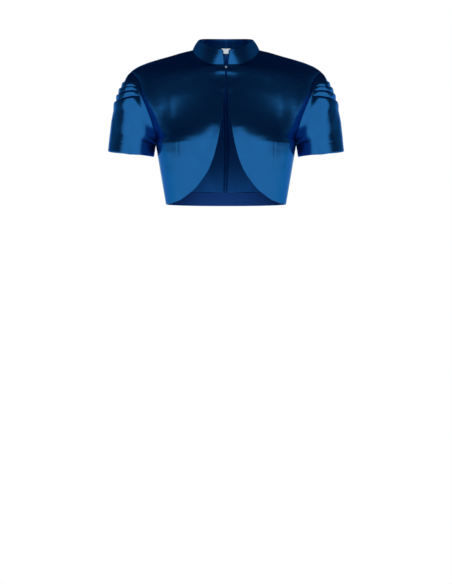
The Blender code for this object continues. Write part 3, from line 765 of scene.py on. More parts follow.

# %% [markdown]
# ## Lining, label and wire
# The lining is a thin plain weave, less shiny than the satin. The label is a matt woven tape, left
# blank; it glows a little, painted light that brightens it in the collar's shade. The hook and eye
# are bright nickel wire.

# %% Lining, label, wire and thread
LINING_BLUE = (0.009, 0.092, 0.350)
LABEL_WHITE = (0.80, 0.79, 0.78)
# The label's glow is painted light: it brightens the label where the collar shades it.
LABEL_PAINTED_GLOW = (0.34, 0.39, 0.43)
WIRE_SILVER = (0.78, 0.82, 0.86)
THREAD_BLUE = (0.010, 0.060, 0.200)
LINING_SHADE = 0.75
LABEL_SHADE = 0.86
LINING_METAL = 0.75
LINING_GLOSS = (0.38, 0.50)
LINING_TONE_SCALE = (14.0, 9.0)
LINING_SLUB_SCALE = (900.0, 60.0)
LINING_BUMP = (0.5, 0.0006)
LINING_WEAVE_BUMP = (0.3, 0.00005)
LABEL_ROUGHNESS = 0.75
LABEL_TONE_SCALE = (300.0, 900.0)
LABEL_WEAVE_BUMP = (0.5, 0.0001)
WIRE_BUMP = (0.2, 0.00005)


def darker(colour, share):
    """The same colour with that share of its light."""
    return tuple(share * c for c in colour)


def lining_material():
    """Dark blue lining with a slight sheen."""
    material, nodes, links, shader = shader_material("lining_cloth")
    shader.inputs["Metallic"].default_value = LINING_METAL
    shader.inputs["Specular Tint"].default_value = (*SATIN_EDGE, 1.0)
    tone = stretched_noise(nodes, links, LINING_TONE_SCALE)
    shade = darker(LINING_BLUE, LINING_SHADE)
    colour = mixed(nodes, links, tone.outputs["Fac"], shade, LINING_BLUE)
    links.new(colour, shader.inputs["Base Color"])
    slub = stretched_noise(nodes, links, LINING_SLUB_SCALE, PLAIN_DETAIL)
    gloss = ranged(nodes, links, slub.outputs["Fac"], *LINING_GLOSS)
    links.new(gloss, shader.inputs["Roughness"])
    soft = bump_from(nodes, links, tone.outputs["Fac"], LINING_BUMP)
    weave = weave_wave(nodes, links, THREAD_PITCH, "Y")
    fine = bump_from(nodes, links, weave.outputs["Fac"], LINING_WEAVE_BUMP, soft)
    links.new(fine.outputs["Normal"], shader.inputs["Normal"])
    return material


def label_material():
    """Off-white woven tape with nothing on it, and a faint painted glow."""
    material, nodes, links, shader = shader_material("label_tape")
    shader.inputs["Roughness"].default_value = LABEL_ROUGHNESS
    # This emission is painted light, not a lamp: it lifts the label out of the collar's shade.
    shader.inputs["Emission Color"].default_value = (*LABEL_PAINTED_GLOW, 1.0)
    shader.inputs["Emission Strength"].default_value = 1.0
    tone = stretched_noise(nodes, links, LABEL_TONE_SCALE, PLAIN_DETAIL)
    shade = darker(LABEL_WHITE, LABEL_SHADE)
    colour = mixed(nodes, links, tone.outputs["Fac"], shade, LABEL_WHITE)
    links.new(colour, shader.inputs["Base Color"])
    weave = weave_wave(nodes, links, THREAD_PITCH, "Y")
    fine = bump_from(nodes, links, weave.outputs["Fac"], LABEL_WEAVE_BUMP)
    links.new(fine.outputs["Normal"], shader.inputs["Normal"])
    return material


def plain_material(name, colour, metallic, gloss, scale):
    """One colour with an uneven gloss."""
    material, nodes, links, shader = shader_material(name)
    shader.inputs["Base Color"].default_value = (*colour, 1.0)
    shader.inputs["Metallic"].default_value = metallic
    noise = nodes.new("ShaderNodeTexNoise")
    noise.inputs["Scale"].default_value = scale
    place = nodes.new("ShaderNodeTexCoord")
    links.new(place.outputs["Object"], noise.inputs["Vector"])
    links.new(ranged(nodes, links, noise.outputs["Fac"], *gloss), shader.inputs["Roughness"])
    bump = bump_from(nodes, links, noise.outputs["Fac"], WIRE_BUMP)
    links.new(bump.outputs["Normal"], shader.inputs["Normal"])
    return material


lining = lining_material()
label_tape = label_material()
nickel = plain_material(
    "nickel_wire", WIRE_SILVER, metallic=1.0, gloss=(0.15, 0.3), scale=900.0
)
thread = plain_material(
    "blue_thread", THREAD_BLUE, metallic=0.2, gloss=(0.4, 0.6), scale=2500.0
)
pale_thread = plain_material(
    "pale_thread", LABEL_WHITE, metallic=0.0, gloss=(0.6, 0.8), scale=2500.0
)
print("materials:", ", ".join(m.name for m in (satin, lining, label_tape, nickel, thread)))

# %% [markdown]
# ## The fronts
# Each front is one cut piece with a dart from the hem to the bust and a cutaway edge. The cloth is
# fastened at the neck alone, so short folds run sideways from the hook, and long shallow ones hang
# from the bust. They aren't the same on both sides. The dart is a narrow sewn groove.

# %% The two fronts
PANEL_COLUMNS = 100
PANEL_ROWS = 150
PANEL_WIDTH = 0.17
PANEL_HEIGHT = 0.33
# Creases fade out over this distance from a seam, and over this one from the neckline.
CALM_REACH = 0.012
NECK_CALM = 0.010
# Seam grooves fade out towards the underarm: above it over a, and below it over t.
UNDERARM_FADE = 0.05
SIDE_FADE = 0.03
DART_X = 0.100
DART_TIP_Z = -0.185
DART_HEM_X = 0.0965
DART_END_Z = HEM_Z - 0.02
DART_WIDTH = 0.0016
DART_DIP = 0.0004
FREE_EDGE_ROLL = 0.0011
FREE_EDGE_WIDTH = 0.0016
HEM_CALM = 0.004

# Columns: x0, z0, x1, z1, width, height. x is taken towards the wearer's own side.
FRONT_CREASES_LEFT = (
    (-0.026, -0.0400, 0.026, -0.0430, 0.0045, -0.0008),
    (-0.024, -0.0500, 0.024, -0.0530, 0.0055, 0.0016),
    (0.010, -0.0520, 0.044, -0.0500, 0.0060, 0.0005),
    (-0.018, -0.0880, 0.018, -0.0900, 0.0060, 0.0008),
    (0.004, -0.0700, 0.036, -0.0660, 0.0060, -0.0004),
    (0.060, -0.0420, 0.100, -0.0700, 0.0110, 0.0006),
    (0.120, -0.1000, 0.112, -0.1650, 0.0080, 0.0005),
    (0.140, -0.1100, 0.128, -0.1800, 0.0070, -0.0005),
    (0.026, -0.1700, 0.044, -0.2400, 0.0110, -0.0013),
    (0.060, -0.2500, 0.066, -0.3050, 0.0120, 0.0011),
    (0.112, -0.2100, 0.108, -0.2950, 0.0100, -0.0008),
    (0.084, -0.3100, 0.104, -0.3020, 0.0045, 0.0005),
)
FRONT_CREASES_RIGHT = (
    (-0.024, -0.0410, 0.024, -0.0420, 0.0045, -0.0009),
    (-0.026, -0.0520, 0.026, -0.0500, 0.0055, 0.0017),
    (0.008, -0.0500, 0.040, -0.0535, 0.0060, 0.0005),
    (-0.015, -0.0900, 0.015, -0.0870, 0.0060, 0.0009),
    (0.004, -0.0680, 0.032, -0.0720, 0.0060, -0.0004),
    (0.056, -0.0480, 0.094, -0.0640, 0.0110, 0.0005),
    (0.116, -0.0950, 0.110, -0.1550, 0.0080, 0.0006),
    (0.136, -0.1250, 0.124, -0.1850, 0.0080, -0.0005),
    (0.024, -0.1620, 0.040, -0.2300, 0.0110, -0.0016),
    (0.064, -0.2400, 0.070, -0.3000, 0.0120, 0.0011),
    (0.116, -0.2200, 0.112, -0.3000, 0.0100, -0.0008),
    (0.088, -0.3080, 0.106, -0.3000, 0.0045, 0.0006),
)


def panel_grid(toward):
    """The plain net of the left front (toward -1) or the left back (toward 1)."""
    s_values = edge_dense(PANEL_COLUMNS, PANEL_WIDTH)
    t_values = edge_dense(PANEL_ROWS, PANEL_HEIGHT)
    return np.array([[panel_point(s, t, toward) for s in s_values] for t in t_values])


def above(grid, t_values, t):
    """1 for rows above height t and 0 below, for each point of the grid."""
    return np.repeat((t_values > t)[:, None], grid.shape[1], axis=1).astype(float)


def edge_distances(grid):
    """Distances along the grid from its inner, outer, lower and upper edge."""
    across, along = arc_lengths(grid, 1), arc_lengths(grid, 0)
    return across, across[:, -1:] - across, along, along[-1:, :] - along


def armhole_inward(a, toward):
    """Step into the jacket at the armhole, none at the underarm. Both pieces there use it."""
    fade = smoothstep(0.0, UNDERARM_FADE, a)
    return fade * np.array((0.0, -toward * math.sin(math.pi * a), math.cos(math.pi * a)))


def outer_inward(t, toward):
    """Step into the jacket at a panel's outer edge."""
    if t > T_UNDERARM:
        return armhole_inward((t - T_UNDERARM) / (1 - T_UNDERARM), toward)
    return np.array((-smoothstep(0.0, SIDE_FADE, T_UNDERARM - t), 0.0, 0.0))


def panel_shape(base, toward, creases):
    """A panel's net with its creases, its dart, its seams and its rolled edges."""
    inner, outer, lower, upper = edge_distances(base)
    t_values = edge_dense(PANEL_ROWS, PANEL_HEIGHT)
    corner = T_PIT if toward < 0 else T_NAPE
    on_neck = above(base, t_values, corner)
    x, z = base[..., 0], base[..., 2]
    calm = smoothstep(0.0, CALM_REACH, np.minimum(outer, upper))
    calm *= 1 - on_neck * (1 - smoothstep(0.0, NECK_CALM, inner))
    if toward > 0:
        calm *= smoothstep(0.0, NECK_CALM, inner)
    lift = crease_heights(x, z, creases) * calm
    if toward < 0:
        dart = [(DART_X, DART_TIP_Z, DART_HEM_X, DART_END_Z, DART_WIDTH, -DART_DIP)]
        lift += crease_heights(x, z, dart)
        lift += seam_dip(inner, FREE_EDGE_WIDTH, FREE_EDGE_ROLL) * (1 - on_neck)
    lift += seam_dip(lower, FREE_EDGE_WIDTH, FREE_EDGE_ROLL) * smoothstep(0.0, HEM_CALM, outer)
    inward = np.array([outer_inward(t, toward) for t in t_values])[:, None, :]
    shape = base + grid_normals(base) * -toward * lift[..., None]
    shape -= seam_dip(outer)[..., None] * inward
    shoulder = seam_dip(upper) * smoothstep(0.0, NECK_CALM, outer)
    shape -= shoulder[..., None] * np.array((0.0, 0.0, -1.0))
    if toward > 0:
        shape -= (seam_dip(inner) * (1 - on_neck))[..., None] * np.array((0.0, -1.0, 0.0))
    return shape


def make_panel(name, base, toward, side, creases):
    """A front or a back, with its creases, on the wearer's left (side 1) or right (side -1)."""
    grid = panel_shape(base, toward, creases)
    if side < 0:
        grid = mirrored(grid)
    piece = make_cloth(f"{name}_cloth", [grid], satin, flip=(toward * side) > 0)
    declare(piece, [grid], name)


front_net = panel_grid(-1)
make_panel("front_left", front_net, -1, 1, FRONT_CREASES_LEFT)
make_panel("front_right", front_net, -1, -1, FRONT_CREASES_RIGHT)

# %% [markdown]
# ## The backs
# The back is cut in two halves, sewn along the centre back. Nobody sees it in the usual picture, so
# it has what such a back has: a hollow along the spine, drag lines towards the armholes and soft
# vertical folds above the hem.

# %% The two backs
BACK_CREASES_LEFT = (
    (0.020, -0.0300, 0.090, -0.0450, 0.0110, 0.0016),
    (0.095, -0.0900, 0.150, -0.1400, 0.0100, 0.0018),
    (0.085, -0.1200, 0.140, -0.1750, 0.0110, -0.0004),
    (0.040, -0.2100, 0.034, -0.3200, 0.0120, 0.0020),
    (0.072, -0.2300, 0.066, -0.3200, 0.0120, -0.0004),
    (0.105, -0.2200, 0.096, -0.3150, 0.0110, 0.0016),
    (0.012, -0.1500, 0.060, -0.1650, 0.0100, -0.0004),
)
BACK_CREASES_RIGHT = (
    (0.024, -0.0340, 0.084, -0.0420, 0.0110, 0.0014),
    (0.090, -0.0980, 0.148, -0.1480, 0.0100, 0.0018),
    (0.080, -0.1300, 0.136, -0.1800, 0.0110, -0.0004),
    (0.036, -0.2250, 0.030, -0.3200, 0.0120, 0.0018),
    (0.076, -0.2150, 0.068, -0.3180, 0.0120, -0.0004),
    (0.108, -0.2300, 0.100, -0.3180, 0.0110, 0.0018),
    (0.010, -0.1620, 0.054, -0.1720, 0.0100, -0.0004),
)
back_net = panel_grid(1)
make_panel("back_left", back_net, 1, 1, BACK_CREASES_LEFT)
make_panel("back_right", back_net, 1, -1, BACK_CREASES_RIGHT)

# %% [markdown]
# ## The sleeves
# Each sleeve is a short tube whose head has four tucks. A tuck is a fold: the band below it comes
# out from under the band above, stands proud and falls back. So along the length of the sleeve the
# surface rises steeply at the crease, rounds over and sinks slowly to the next crease. The tucks
# fade before they reach the armhole seam, and their lines wander a little.

# %% Tables of the sleeve
# Columns: a, x and z of the outermost point, then x, half depth and z of the front and back.
SLEEVE_CAP = (
    (0.00, 0.2425, -0.1700, 0.1960, 0.0535, -0.1870),
    (0.30, 0.2395, -0.1440, 0.1980, 0.0560, -0.1520),
    (0.50, 0.2345, -0.1210, 0.2010, 0.0550, -0.1230),
    (0.60, 0.2300, -0.1090, 0.2030, 0.0520, -0.1050),
    (0.65, 0.2255, -0.0925, 0.2040, 0.0490, -0.0910),
    (0.69, 0.2200, -0.0800, 0.2040, 0.0450, -0.0820),
    (0.75, 0.2145, -0.0690, 0.2040, 0.0375, -0.0700),
    (0.86, 0.2085, -0.0570, 0.2040, 0.0220, -0.0570),
    (1.00, 0.2000, -0.0460, 0.2000, 0.0000, -0.0460),
)
SLEEVE_HEM_OUTER = (0.2480, -0.2130)
SLEEVE_HEM_INNER = (0.1510, -0.2250)
SLEEVE_HEM_HALF_DEPTH = 0.0520
SLEEVE_HEM_TILT = 0.08
ROUND_HANDLE = 0.5523
# A row's handles: how much of its width and drop they take at the armhole and at the side.
LEAVE_ACROSS = 0.7
LEAVE_DROP = 0.4
SIDE_DROP = 0.3
# How far the rows open at their ends, towards the tip of the shoulder, and from which a.
CAP_OPENING = 0.85
CAP_OPEN_BY = 0.45

# Columns: a of the crease, a of the fold, height of the fold, depth of the crease.
TUCKS = (
    (0.600, 0.587, 0.0042, 0.0016),
    (0.648, 0.637, 0.0034, 0.0014),
    (0.690, 0.680, 0.0034, 0.0010),
    (0.750, 0.738, 0.0026, 0.0006),
)
TUCK_SAG = 0.7
LAST_TUCK_FADE = 0.16
# A fold stops this far above the next crease, and a crease is this wide, both in a.
TUCK_CLEARANCE = 0.003
TUCK_CREASE = 0.0035
TUCK_CLOSES = (0.85, 1.0)
# Tucks fade towards the ends of a row, over this range of its sine, and start above this a.
TUCK_FADE = (0.12, 0.62)
TUCKS_FROM = 0.3
# Each tuck's line wanders by two waves: size in a, waves over a row in radians.
TUCK_WAVES = ((0.0035, 7.0, 1), (0.002, 17.0, 2))
sleeve_cap = curve_through(SLEEVE_CAP)
print("tucks:", len(TUCKS))


# %% A row of the sleeve
def quarter(start, leave, end, arrive, count):
    """Points from start up to but not including end, on one cubic with those two handles."""
    u = (np.arange(count) / count)[:, None]
    v = 1 - u
    first = v**3 * start + 3 * v * v * u * (start + leave)
    return first + 3 * v * u * u * (end + arrive) + u**3 * end


def sleeve_row(front_end, front, outer, back, back_end, opening, count):
    """A row through five points. opening is 0 where its ends close a tube and 1 at the top."""
    rows = []
    half_depth = (back[1] - front[1]) / 2
    turn = opening * math.pi / 2
    for end, side, toward in ((front_end, front, -1), (back_end, back, 1)):
        across = side[0] - end[0]
        depth = abs(side[1] - end[1])
        drop = side[2] - end[2]
        leave_x = across * math.sin(turn) * LEAVE_ACROSS
        leave_y = toward * depth * math.cos(turn)
        leave = ROUND_HANDLE * np.array((leave_x, leave_y, drop * LEAVE_DROP))
        into_side = np.array((ROUND_HANDLE * across, 0.0, drop * SIDE_DROP))
        past = outer - side
        out_of_side = np.array((ROUND_HANDLE * past[0], 0.0, past[2] * LEAVE_DROP))
        into_outer = np.array((0.0, toward * ROUND_HANDLE * half_depth, 0.0))
        first = quarter(end, leave, side, -into_side, count)
        second = quarter(side, out_of_side, outer, into_outer, count)
        rows.append(np.vstack([first, second]))
    return np.vstack([rows[0], outer[None, :], rows[1][::-1]])


def cap_row(a, count):
    """Row of the sleeve above the underarm, at height number a."""
    outer_x, outer_z, side_x, half_depth, side_z = sleeve_cap(a)
    outer = np.array((outer_x, 0.0, outer_z))
    front = np.array((side_x, -half_depth, side_z))
    back = np.array((side_x, half_depth, side_z))
    opening = smoothstep(0.0, CAP_OPEN_BY, a) * CAP_OPENING
    return sleeve_row(armhole(a, -1), front, outer, back, armhole(a, 1), opening, count)


def hem_row(count):
    """The sleeve's lower edge, an oval that is a little lower at the front."""
    outer = np.array((SLEEVE_HEM_OUTER[0], 0.0, SLEEVE_HEM_OUTER[1]))
    inner = np.array((SLEEVE_HEM_INNER[0], 0.0, SLEEVE_HEM_INNER[1]))
    middle = (outer + inner) / 2
    step = np.array((0.0, SLEEVE_HEM_HALF_DEPTH, SLEEVE_HEM_HALF_DEPTH * SLEEVE_HEM_TILT))
    return sleeve_row(inner, middle - step, outer, middle + step, inner, 0.0, count)


# %% The two sleeves
SLEEVE_QUARTER = 30
SLEEVE_LOWER_ROWS = 30
SLEEVE_DROP = 0.05
CAP_ROWS = 40
CAP_TOP_ROWS = 20
CAP_HEIGHT = 0.17
CAP_TOP_FROM = 0.97
TUCK_ROWS = 16
TUCK_ROWS_SPREAD = 0.006
SLEEVE_SEAM_FADE = 0.2
SLEEVE_SEAM_SHARE = 0.5
HEM_STITCH_UP = 0.022
HEM_STITCH_WIDTH = 0.0012
HEM_STITCH_DIP = 0.00025

# Columns: place round the arm (0 is the outside, minus the front), z, the same at the other end,
# width, height.
SLEEVE_CREASES_LEFT = (
    (-0.050, -0.118, -0.088, -0.175, 0.0080, 0.0013),
    (-0.020, -0.120, -0.050, -0.195, 0.0110, -0.0010),
    (-0.100, -0.150, -0.078, -0.205, 0.0090, -0.0009),
    (0.010, -0.125, -0.006, -0.200, 0.0110, 0.0010),
    (0.045, -0.118, 0.080, -0.180, 0.0090, 0.0012),
    (0.075, -0.140, 0.096, -0.200, 0.0090, -0.0009),
    (-0.035, -0.0880, -0.012, -0.0900, 0.0028, -0.0009),
    (-0.045, -0.0985, -0.030, -0.0960, 0.0026, 0.0007),
    (0.030, -0.0900, 0.012, -0.0860, 0.0028, -0.0008),
)
SLEEVE_CREASES_RIGHT = (
    (-0.046, -0.114, -0.092, -0.170, 0.0080, 0.0012),
    (-0.024, -0.125, -0.044, -0.200, 0.0110, -0.0011),
    (-0.098, -0.145, -0.082, -0.200, 0.0090, -0.0008),
    (0.014, -0.120, 0.000, -0.205, 0.0110, 0.0010),
    (0.050, -0.122, 0.078, -0.190, 0.0090, 0.0011),
    (-0.030, -0.0860, -0.010, -0.0870, 0.0028, -0.0008),
    (-0.048, -0.0970, -0.034, -0.0950, 0.0026, 0.0008),
    (0.034, -0.0920, 0.014, -0.0880, 0.0028, -0.0008),
)


def sleeve_heights():
    """Height numbers of the cap's rows, crowded about each tuck."""
    heights = set(np.round(np.linspace(0, 1, CAP_ROWS), 5))
    heights |= set(np.round(edge_dense(CAP_TOP_ROWS, CAP_HEIGHT, CAP_TOP_FROM), 5))
    for crease, fold, _, _ in TUCKS:
        low, high = fold - TUCK_ROWS_SPREAD, crease + TUCK_ROWS_SPREAD
        heights |= set(np.round(np.linspace(low, high, TUCK_ROWS), 5))
    return sorted(heights)


def tuck_lift(a, wander):
    """How far the tucks raise the cloth at height number a, an array over the row."""
    lift = np.zeros_like(wander)
    bounds = [0.0] + [row[0] for row in TUCKS]
    for below, (crease, fold, rise, depth) in zip(bounds, TUCKS):
        top = crease + wander
        reach = crease - fold
        up = np.clip((top - a) / reach, 0.0, 1.0)
        round_over = np.sqrt(1 - (1 - up) ** 2)
        room = LAST_TUCK_FADE if below == 0.0 else fold - below - TUCK_CLEARANCE
        down = np.clip((fold + wander - a) / room, 0.0, 1.0)
        sag = 1.0 if below == 0.0 else TUCK_SAG
        fall = 1 - sag * smoothstep(0.0, 1.0, down)
        if below > 0.0:
            fall = fall * (1 - smoothstep(*TUCK_CLOSES, down))
        inside = (a <= top) & (down < 1.0)
        lift += np.where(inside, rise * round_over * fall, 0.0)
        lift -= depth * np.exp(-(((a - top) / TUCK_CREASE) ** 2))
    return lift


def sleeve_grid():
    """The plain net of the left sleeve and each row's height number, below 0 under the cap."""
    low = hem_row(SLEEVE_QUARTER)
    high = cap_row(0.0, SLEEVE_QUARTER)
    shares = edge_dense(SLEEVE_LOWER_ROWS, SLEEVE_DROP)
    shares = shares[shares < PLAIN_END]
    rows = [(1 - u) * low + u * high for u in shares]
    heights = [u - 1.0 for u in shares]
    for a in sleeve_heights():
        rows.append(cap_row(a, SLEEVE_QUARTER))
        heights.append(a)
    return np.array(rows), np.array(heights)


def sleeve_lift(net, heights, phase, creases):
    """How far the sleeve stands off its plain net."""
    across = arc_lengths(net, 1)
    along = arc_lengths(net, 0)
    middle = net.shape[1] // 2
    round_arm = across - across[:, middle : middle + 1]
    columns = np.linspace(0, 1, net.shape[1])
    fade = smoothstep(*TUCK_FADE, np.sin(math.pi * columns))
    wander = sum(size * np.sin(waves * columns + k * phase) for size, waves, k in TUCK_WAVES)
    lift = np.zeros(net.shape[:2])
    for i, a in enumerate(heights):
        if a > TUCKS_FROM:
            lift[i] = tuck_lift(a, wander * fade) * fade
    ends = np.minimum(across, across[:, -1:] - across)
    calm = smoothstep(0.0, CALM_REACH, ends)
    lift += crease_heights(round_arm, net[..., 2], creases) * calm
    lift += seam_dip(along, FREE_EDGE_WIDTH, FREE_EDGE_ROLL)
    lift -= HEM_STITCH_DIP * np.exp(-(((along - HEM_STITCH_UP) / HEM_STITCH_WIDTH) ** 2))
    return lift


def sleeve_inward(height, toward):
    """Step inwards at the sleeve's end of a row: at the armhole, or at its own underarm seam."""
    if height > 0:
        return armhole_inward(height, toward)
    share = SLEEVE_SEAM_SHARE * smoothstep(0.0, SLEEVE_SEAM_FADE, -height)
    return np.array((share, 0.0, 0.0))


def sleeve_seams(net, heights):
    """How far the sleeve moves near its seams."""
    across = arc_lengths(net, 1)
    shift = np.zeros_like(net)
    for i, height in enumerate(heights):
        front, back = across[i], across[i, -1] - across[i]
        shift[i] -= seam_dip(front)[:, None] * sleeve_inward(height, -1)
        if height > 0:
            shift[i] -= seam_dip(back)[:, None] * sleeve_inward(height, 1)
        else:
            shift[i] -= (seam_dip(back) * (back < front))[:, None] * sleeve_inward(height, 1)
    return shift


def make_sleeve(name, side, phase, creases):
    """A sleeve with its own creases and slightly different tucks."""
    net, heights = sleeve_grid()
    net_normals = grid_normals(net)
    outward = net - net.mean(axis=1, keepdims=True)
    if (net_normals * outward).sum() < 0:
        net_normals = -net_normals
    grid = net + net_normals * sleeve_lift(net, heights, phase, creases)[..., None]
    grid += sleeve_seams(net, heights)
    if side < 0:
        grid = mirrored(grid)
    piece = make_cloth(f"{name}_cloth", [grid], satin, flip=side < 0)
    declare(piece, [grid], name)


make_sleeve("sleeve_left", 1, 0.6, SLEEVE_CREASES_LEFT)
make_sleeve("sleeve_right", -1, 2.1, SLEEVE_CREASES_RIGHT)

# %% [markdown]
# ## The collar
# The stand collar is two layers of satin with stiffening between them, turned right side out and
# pressed, so its edge is thick and round. It stands on the neckline and leans inwards a little.

# %% The collar
# Columns: q, x, y, z of the top edge.
COLLAR_TOP = (
    (0.00, 0.0050, -0.0590, -0.0085),
    (0.04, 0.0085, -0.0588, -0.0048),
    (0.10, 0.0160, -0.0570, -0.0022),
    (0.21, 0.0310, -0.0475, 0.0035),
    (0.32, 0.0440, -0.0340, 0.0105),
    (0.42, 0.0530, -0.0165, 0.0165),
    (0.52, 0.0575, 0.0020, 0.0210),
    (0.62, 0.0560, 0.0205, 0.0250),
    (0.74, 0.0475, 0.0400, 0.0285),
    (0.87, 0.0265, 0.0565, 0.0305),
    (1.00, 0.0000, 0.0620, 0.0310),
)
COLLAR_BOW = 0.0012
COLLAR_THICKNESS = 0.0016
COLLAR_LENGTH = 0.20
COLLAR_HEIGHT = 0.036
COLLAR_COLUMNS = 90
COLLAR_ROWS = 22
# The pressed edge rolls in, and the seam allowances inside raise a low welt along it.
COLLAR_ROLL_WIDTH = 0.0020
COLLAR_ROLL = 0.0008
WELT_FROM_EDGE = 0.0030
WELT_WIDTH = 0.0012
WELT_RISE = 0.0003
collar_top = curve_through(COLLAR_TOP)


def collar_point(q, v):
    """Point of the collar's left half: q runs round the neck and v up the collar."""
    base, top = neckline(q), collar_top(q)
    outward = np.array((top[0], top[1], 0.0)) / math.hypot(top[0], top[1])
    return (1 - v) * base + v * top + outward * COLLAR_BOW * math.sin(math.pi * v)


def collar_grid():
    """The whole collar, from its left front end round the back to its right front end."""
    q_values = edge_dense(COLLAR_COLUMNS, COLLAR_LENGTH)
    q_values = np.append(q_values[q_values < PLAIN_END], 1.0)
    rows = []
    for v in edge_dense(COLLAR_ROWS, COLLAR_HEIGHT):
        half = np.array([collar_point(q, v) for q in q_values])
        half[-1, 0] = 0.0
        rows.append(np.vstack([half, mirrored(half[-2::-1])]))
    return np.array(rows)


collar_net = collar_grid()
collar_inner, collar_outer, collar_lower, collar_upper = edge_distances(collar_net)
collar_free = np.minimum(np.minimum(collar_inner, collar_outer), collar_upper)
collar_lift = seam_dip(collar_free, COLLAR_ROLL_WIDTH, COLLAR_ROLL)
collar_lift *= smoothstep(0.0, WELT_FROM_EDGE, collar_lower)
collar_lift += WELT_RISE * np.exp(-(((collar_free - WELT_FROM_EDGE) / WELT_WIDTH) ** 2))
collar_shape = collar_net + grid_normals(collar_net) * collar_lift[..., None]
collar = make_cloth("collar_cloth", [collar_shape], satin, thickness=COLLAR_THICKNESS)
declare(collar, [collar_shape], "collar")

# %% [markdown]
# ## Inside the back
# Through the open front the lining of the back shows, with an ease pleat down its middle: a fold
# left so that the lining never pulls on the satin. Below it lies the hem's facing, a band of the
# same satin. Both are laid on the inside of the back: its own net, moved in past its wall.

# %% Lining and facing
WALL = 0.0016
LAYER_GAP = 0.0004
LINING_THICKNESS = 0.0007
FACING_THICKNESS = 0.0009
PLEAT_RISE = 0.0034
PLEAT_WIDTH = 0.0030
PLEAT_SWING = 0.0016
PLEAT_SWINGS = 26.0
PLEAT_STEEPNESS = 6
PLEAT_SWING_Z = -0.02
INSIDE_STEP = 0.004
LINING_ROWS = 110
NAPE_ROWS = 24
LINING_HEIGHT = 0.29
FACING_ROWS = 12
FACING_HEIGHT = 0.029
FACING_FROM = 0.002
# Half the gap in t between lining and facing.
FACING_GAP = 0.001
# Columns of the lining and the facing: finer over the pleat than beside it.
FINE_COLUMNS = (0.0, 0.10, 26)
WIDE_COLUMNS = (0.11, PLAIN_END, 60)
# The lining lies flat below the nape, over this range under it.
NAPE_CALM = (0.05, 0.01)
LINING_TROUGH = 0.0001
FACING_STAND = 0.0006
FACING_ROLL_WIDTH = 0.0012
FACING_ROLL = 0.0004

# Columns: x0, z0, x1, z1, width, height. x is to the wearer's left, and height is inwards.
LINING_CREASES = (
    (-0.010, -0.200, -0.013, -0.290, 0.0050, -0.0010),
    (0.010, -0.130, 0.009, -0.230, 0.0045, -0.0009),
    (-0.045, -0.200, -0.030, -0.290, 0.0100, 0.0012),
    (0.040, -0.210, 0.048, -0.290, 0.0100, 0.0012),
    (-0.020, -0.120, -0.060, -0.190, 0.0100, 0.0010),
    (0.030, -0.110, 0.070, -0.180, 0.0100, 0.0010),
)


def inside_point(s, t):
    """Point of the back's inside, moved in past its wall."""
    left, right = max(0.0, s - INSIDE_STEP), min(1.0, s + INSIDE_STEP)
    low, high = max(0.0, t - INSIDE_STEP), min(1.0, t + INSIDE_STEP)
    across = panel_point(right, t, 1) - panel_point(left, t, 1)
    up = panel_point(s, high, 1) - panel_point(s, low, 1)
    normal = np.cross(up, across)
    normal /= np.linalg.norm(normal)
    if s == 0.0 and t <= T_NAPE:
        normal[0] = 0.0
    return panel_point(s, t, 1) - normal * (WALL + LAYER_GAP)


def inside_half(t_values, s_values):
    """Rows inside the left back."""
    return np.array([[inside_point(s, t) for s in s_values] for t in t_values])


def whole_rows(half):
    """Rows from the right side seam to the left one, from their left halves."""
    return np.concatenate([mirrored(half[:, :0:-1]), half], axis=1)


def lining_rise(x, z, fade):
    """How far the lining stands off: its ease pleat, which swings a little, and its creases."""
    centre = PLEAT_SWING * np.sin((z - PLEAT_SWING_Z) * PLEAT_SWINGS)
    pleat = PLEAT_RISE * np.exp(-(((x - centre) / PLEAT_WIDTH) ** PLEAT_STEEPNESS))
    creases = np.maximum(crease_heights(x, z, LINING_CREASES), -LINING_TROUGH)
    return (pleat + creases) * fade


s_inside = np.concatenate([np.linspace(*FINE_COLUMNS), np.linspace(*WIDE_COLUMNS)])
lining_t = edge_dense(LINING_ROWS, LINING_HEIGHT, T_FACING + FACING_GAP, T_NAPE)
lining_net = whole_rows(inside_half(lining_t, s_inside))
nape_fade = 1 - smoothstep(*(T_NAPE - below for below in NAPE_CALM), lining_t)[:, None]
rise = lining_rise(lining_net[..., 0], lining_net[..., 2], nape_fade)
lining_main = lining_net - np.array((0.0, 1.0, 0.0)) * rise[..., None]
lining_left = inside_half(np.linspace(T_NAPE, PLAIN_END, NAPE_ROWS), s_inside)
lining_shape = [lining_main, lining_left, mirrored(lining_left)[:, ::-1]]
lining_piece = make_cloth("back_lining_cloth", lining_shape, lining, thickness=LINING_THICKNESS)
declare(lining_piece, lining_shape, "back_lining")

facing_t = edge_dense(FACING_ROWS, FACING_HEIGHT, FACING_FROM, T_FACING - FACING_GAP)
facing_net = whole_rows(inside_half(facing_t, s_inside))
facing_upper = edge_distances(facing_net)[3]
facing_rise = FACING_STAND + seam_dip(facing_upper, FACING_ROLL_WIDTH, FACING_ROLL)
facing_shape = facing_net - np.array((0.0, 1.0, 0.0)) * facing_rise[..., None]
facing_piece = make_cloth(
    "back_hem_facing_cloth", [facing_shape], shaded_facing_satin, thickness=FACING_THICKNESS
)
declare(facing_piece, [facing_shape], "back_hem_facing")

# %% [markdown]
# ## The label
# A blank woven tape, tacked to the inside of the collar with a few stitches at each end.

# %% Label and its stitches
LABEL_HALF_WIDTH = 0.017
LABEL_BOTTOM_Z = 0.0002
LABEL_TOP_Z = 0.0107
LABEL_THICKNESS = 0.0005
STITCH_RADIUS = 0.00018
STITCH_ARCH = (0.0, -0.0008, 0.0)
STITCH_LENGTH = 0.0016
STITCH_PITCH = 0.0026
STITCH_INSET = 0.0012
STITCH_FIRST_UP = 0.0015
STITCH_SLANT = 0.0002
STITCHES_PER_END = 4
LABEL_COLUMNS = 50
LABEL_ROWS = 16
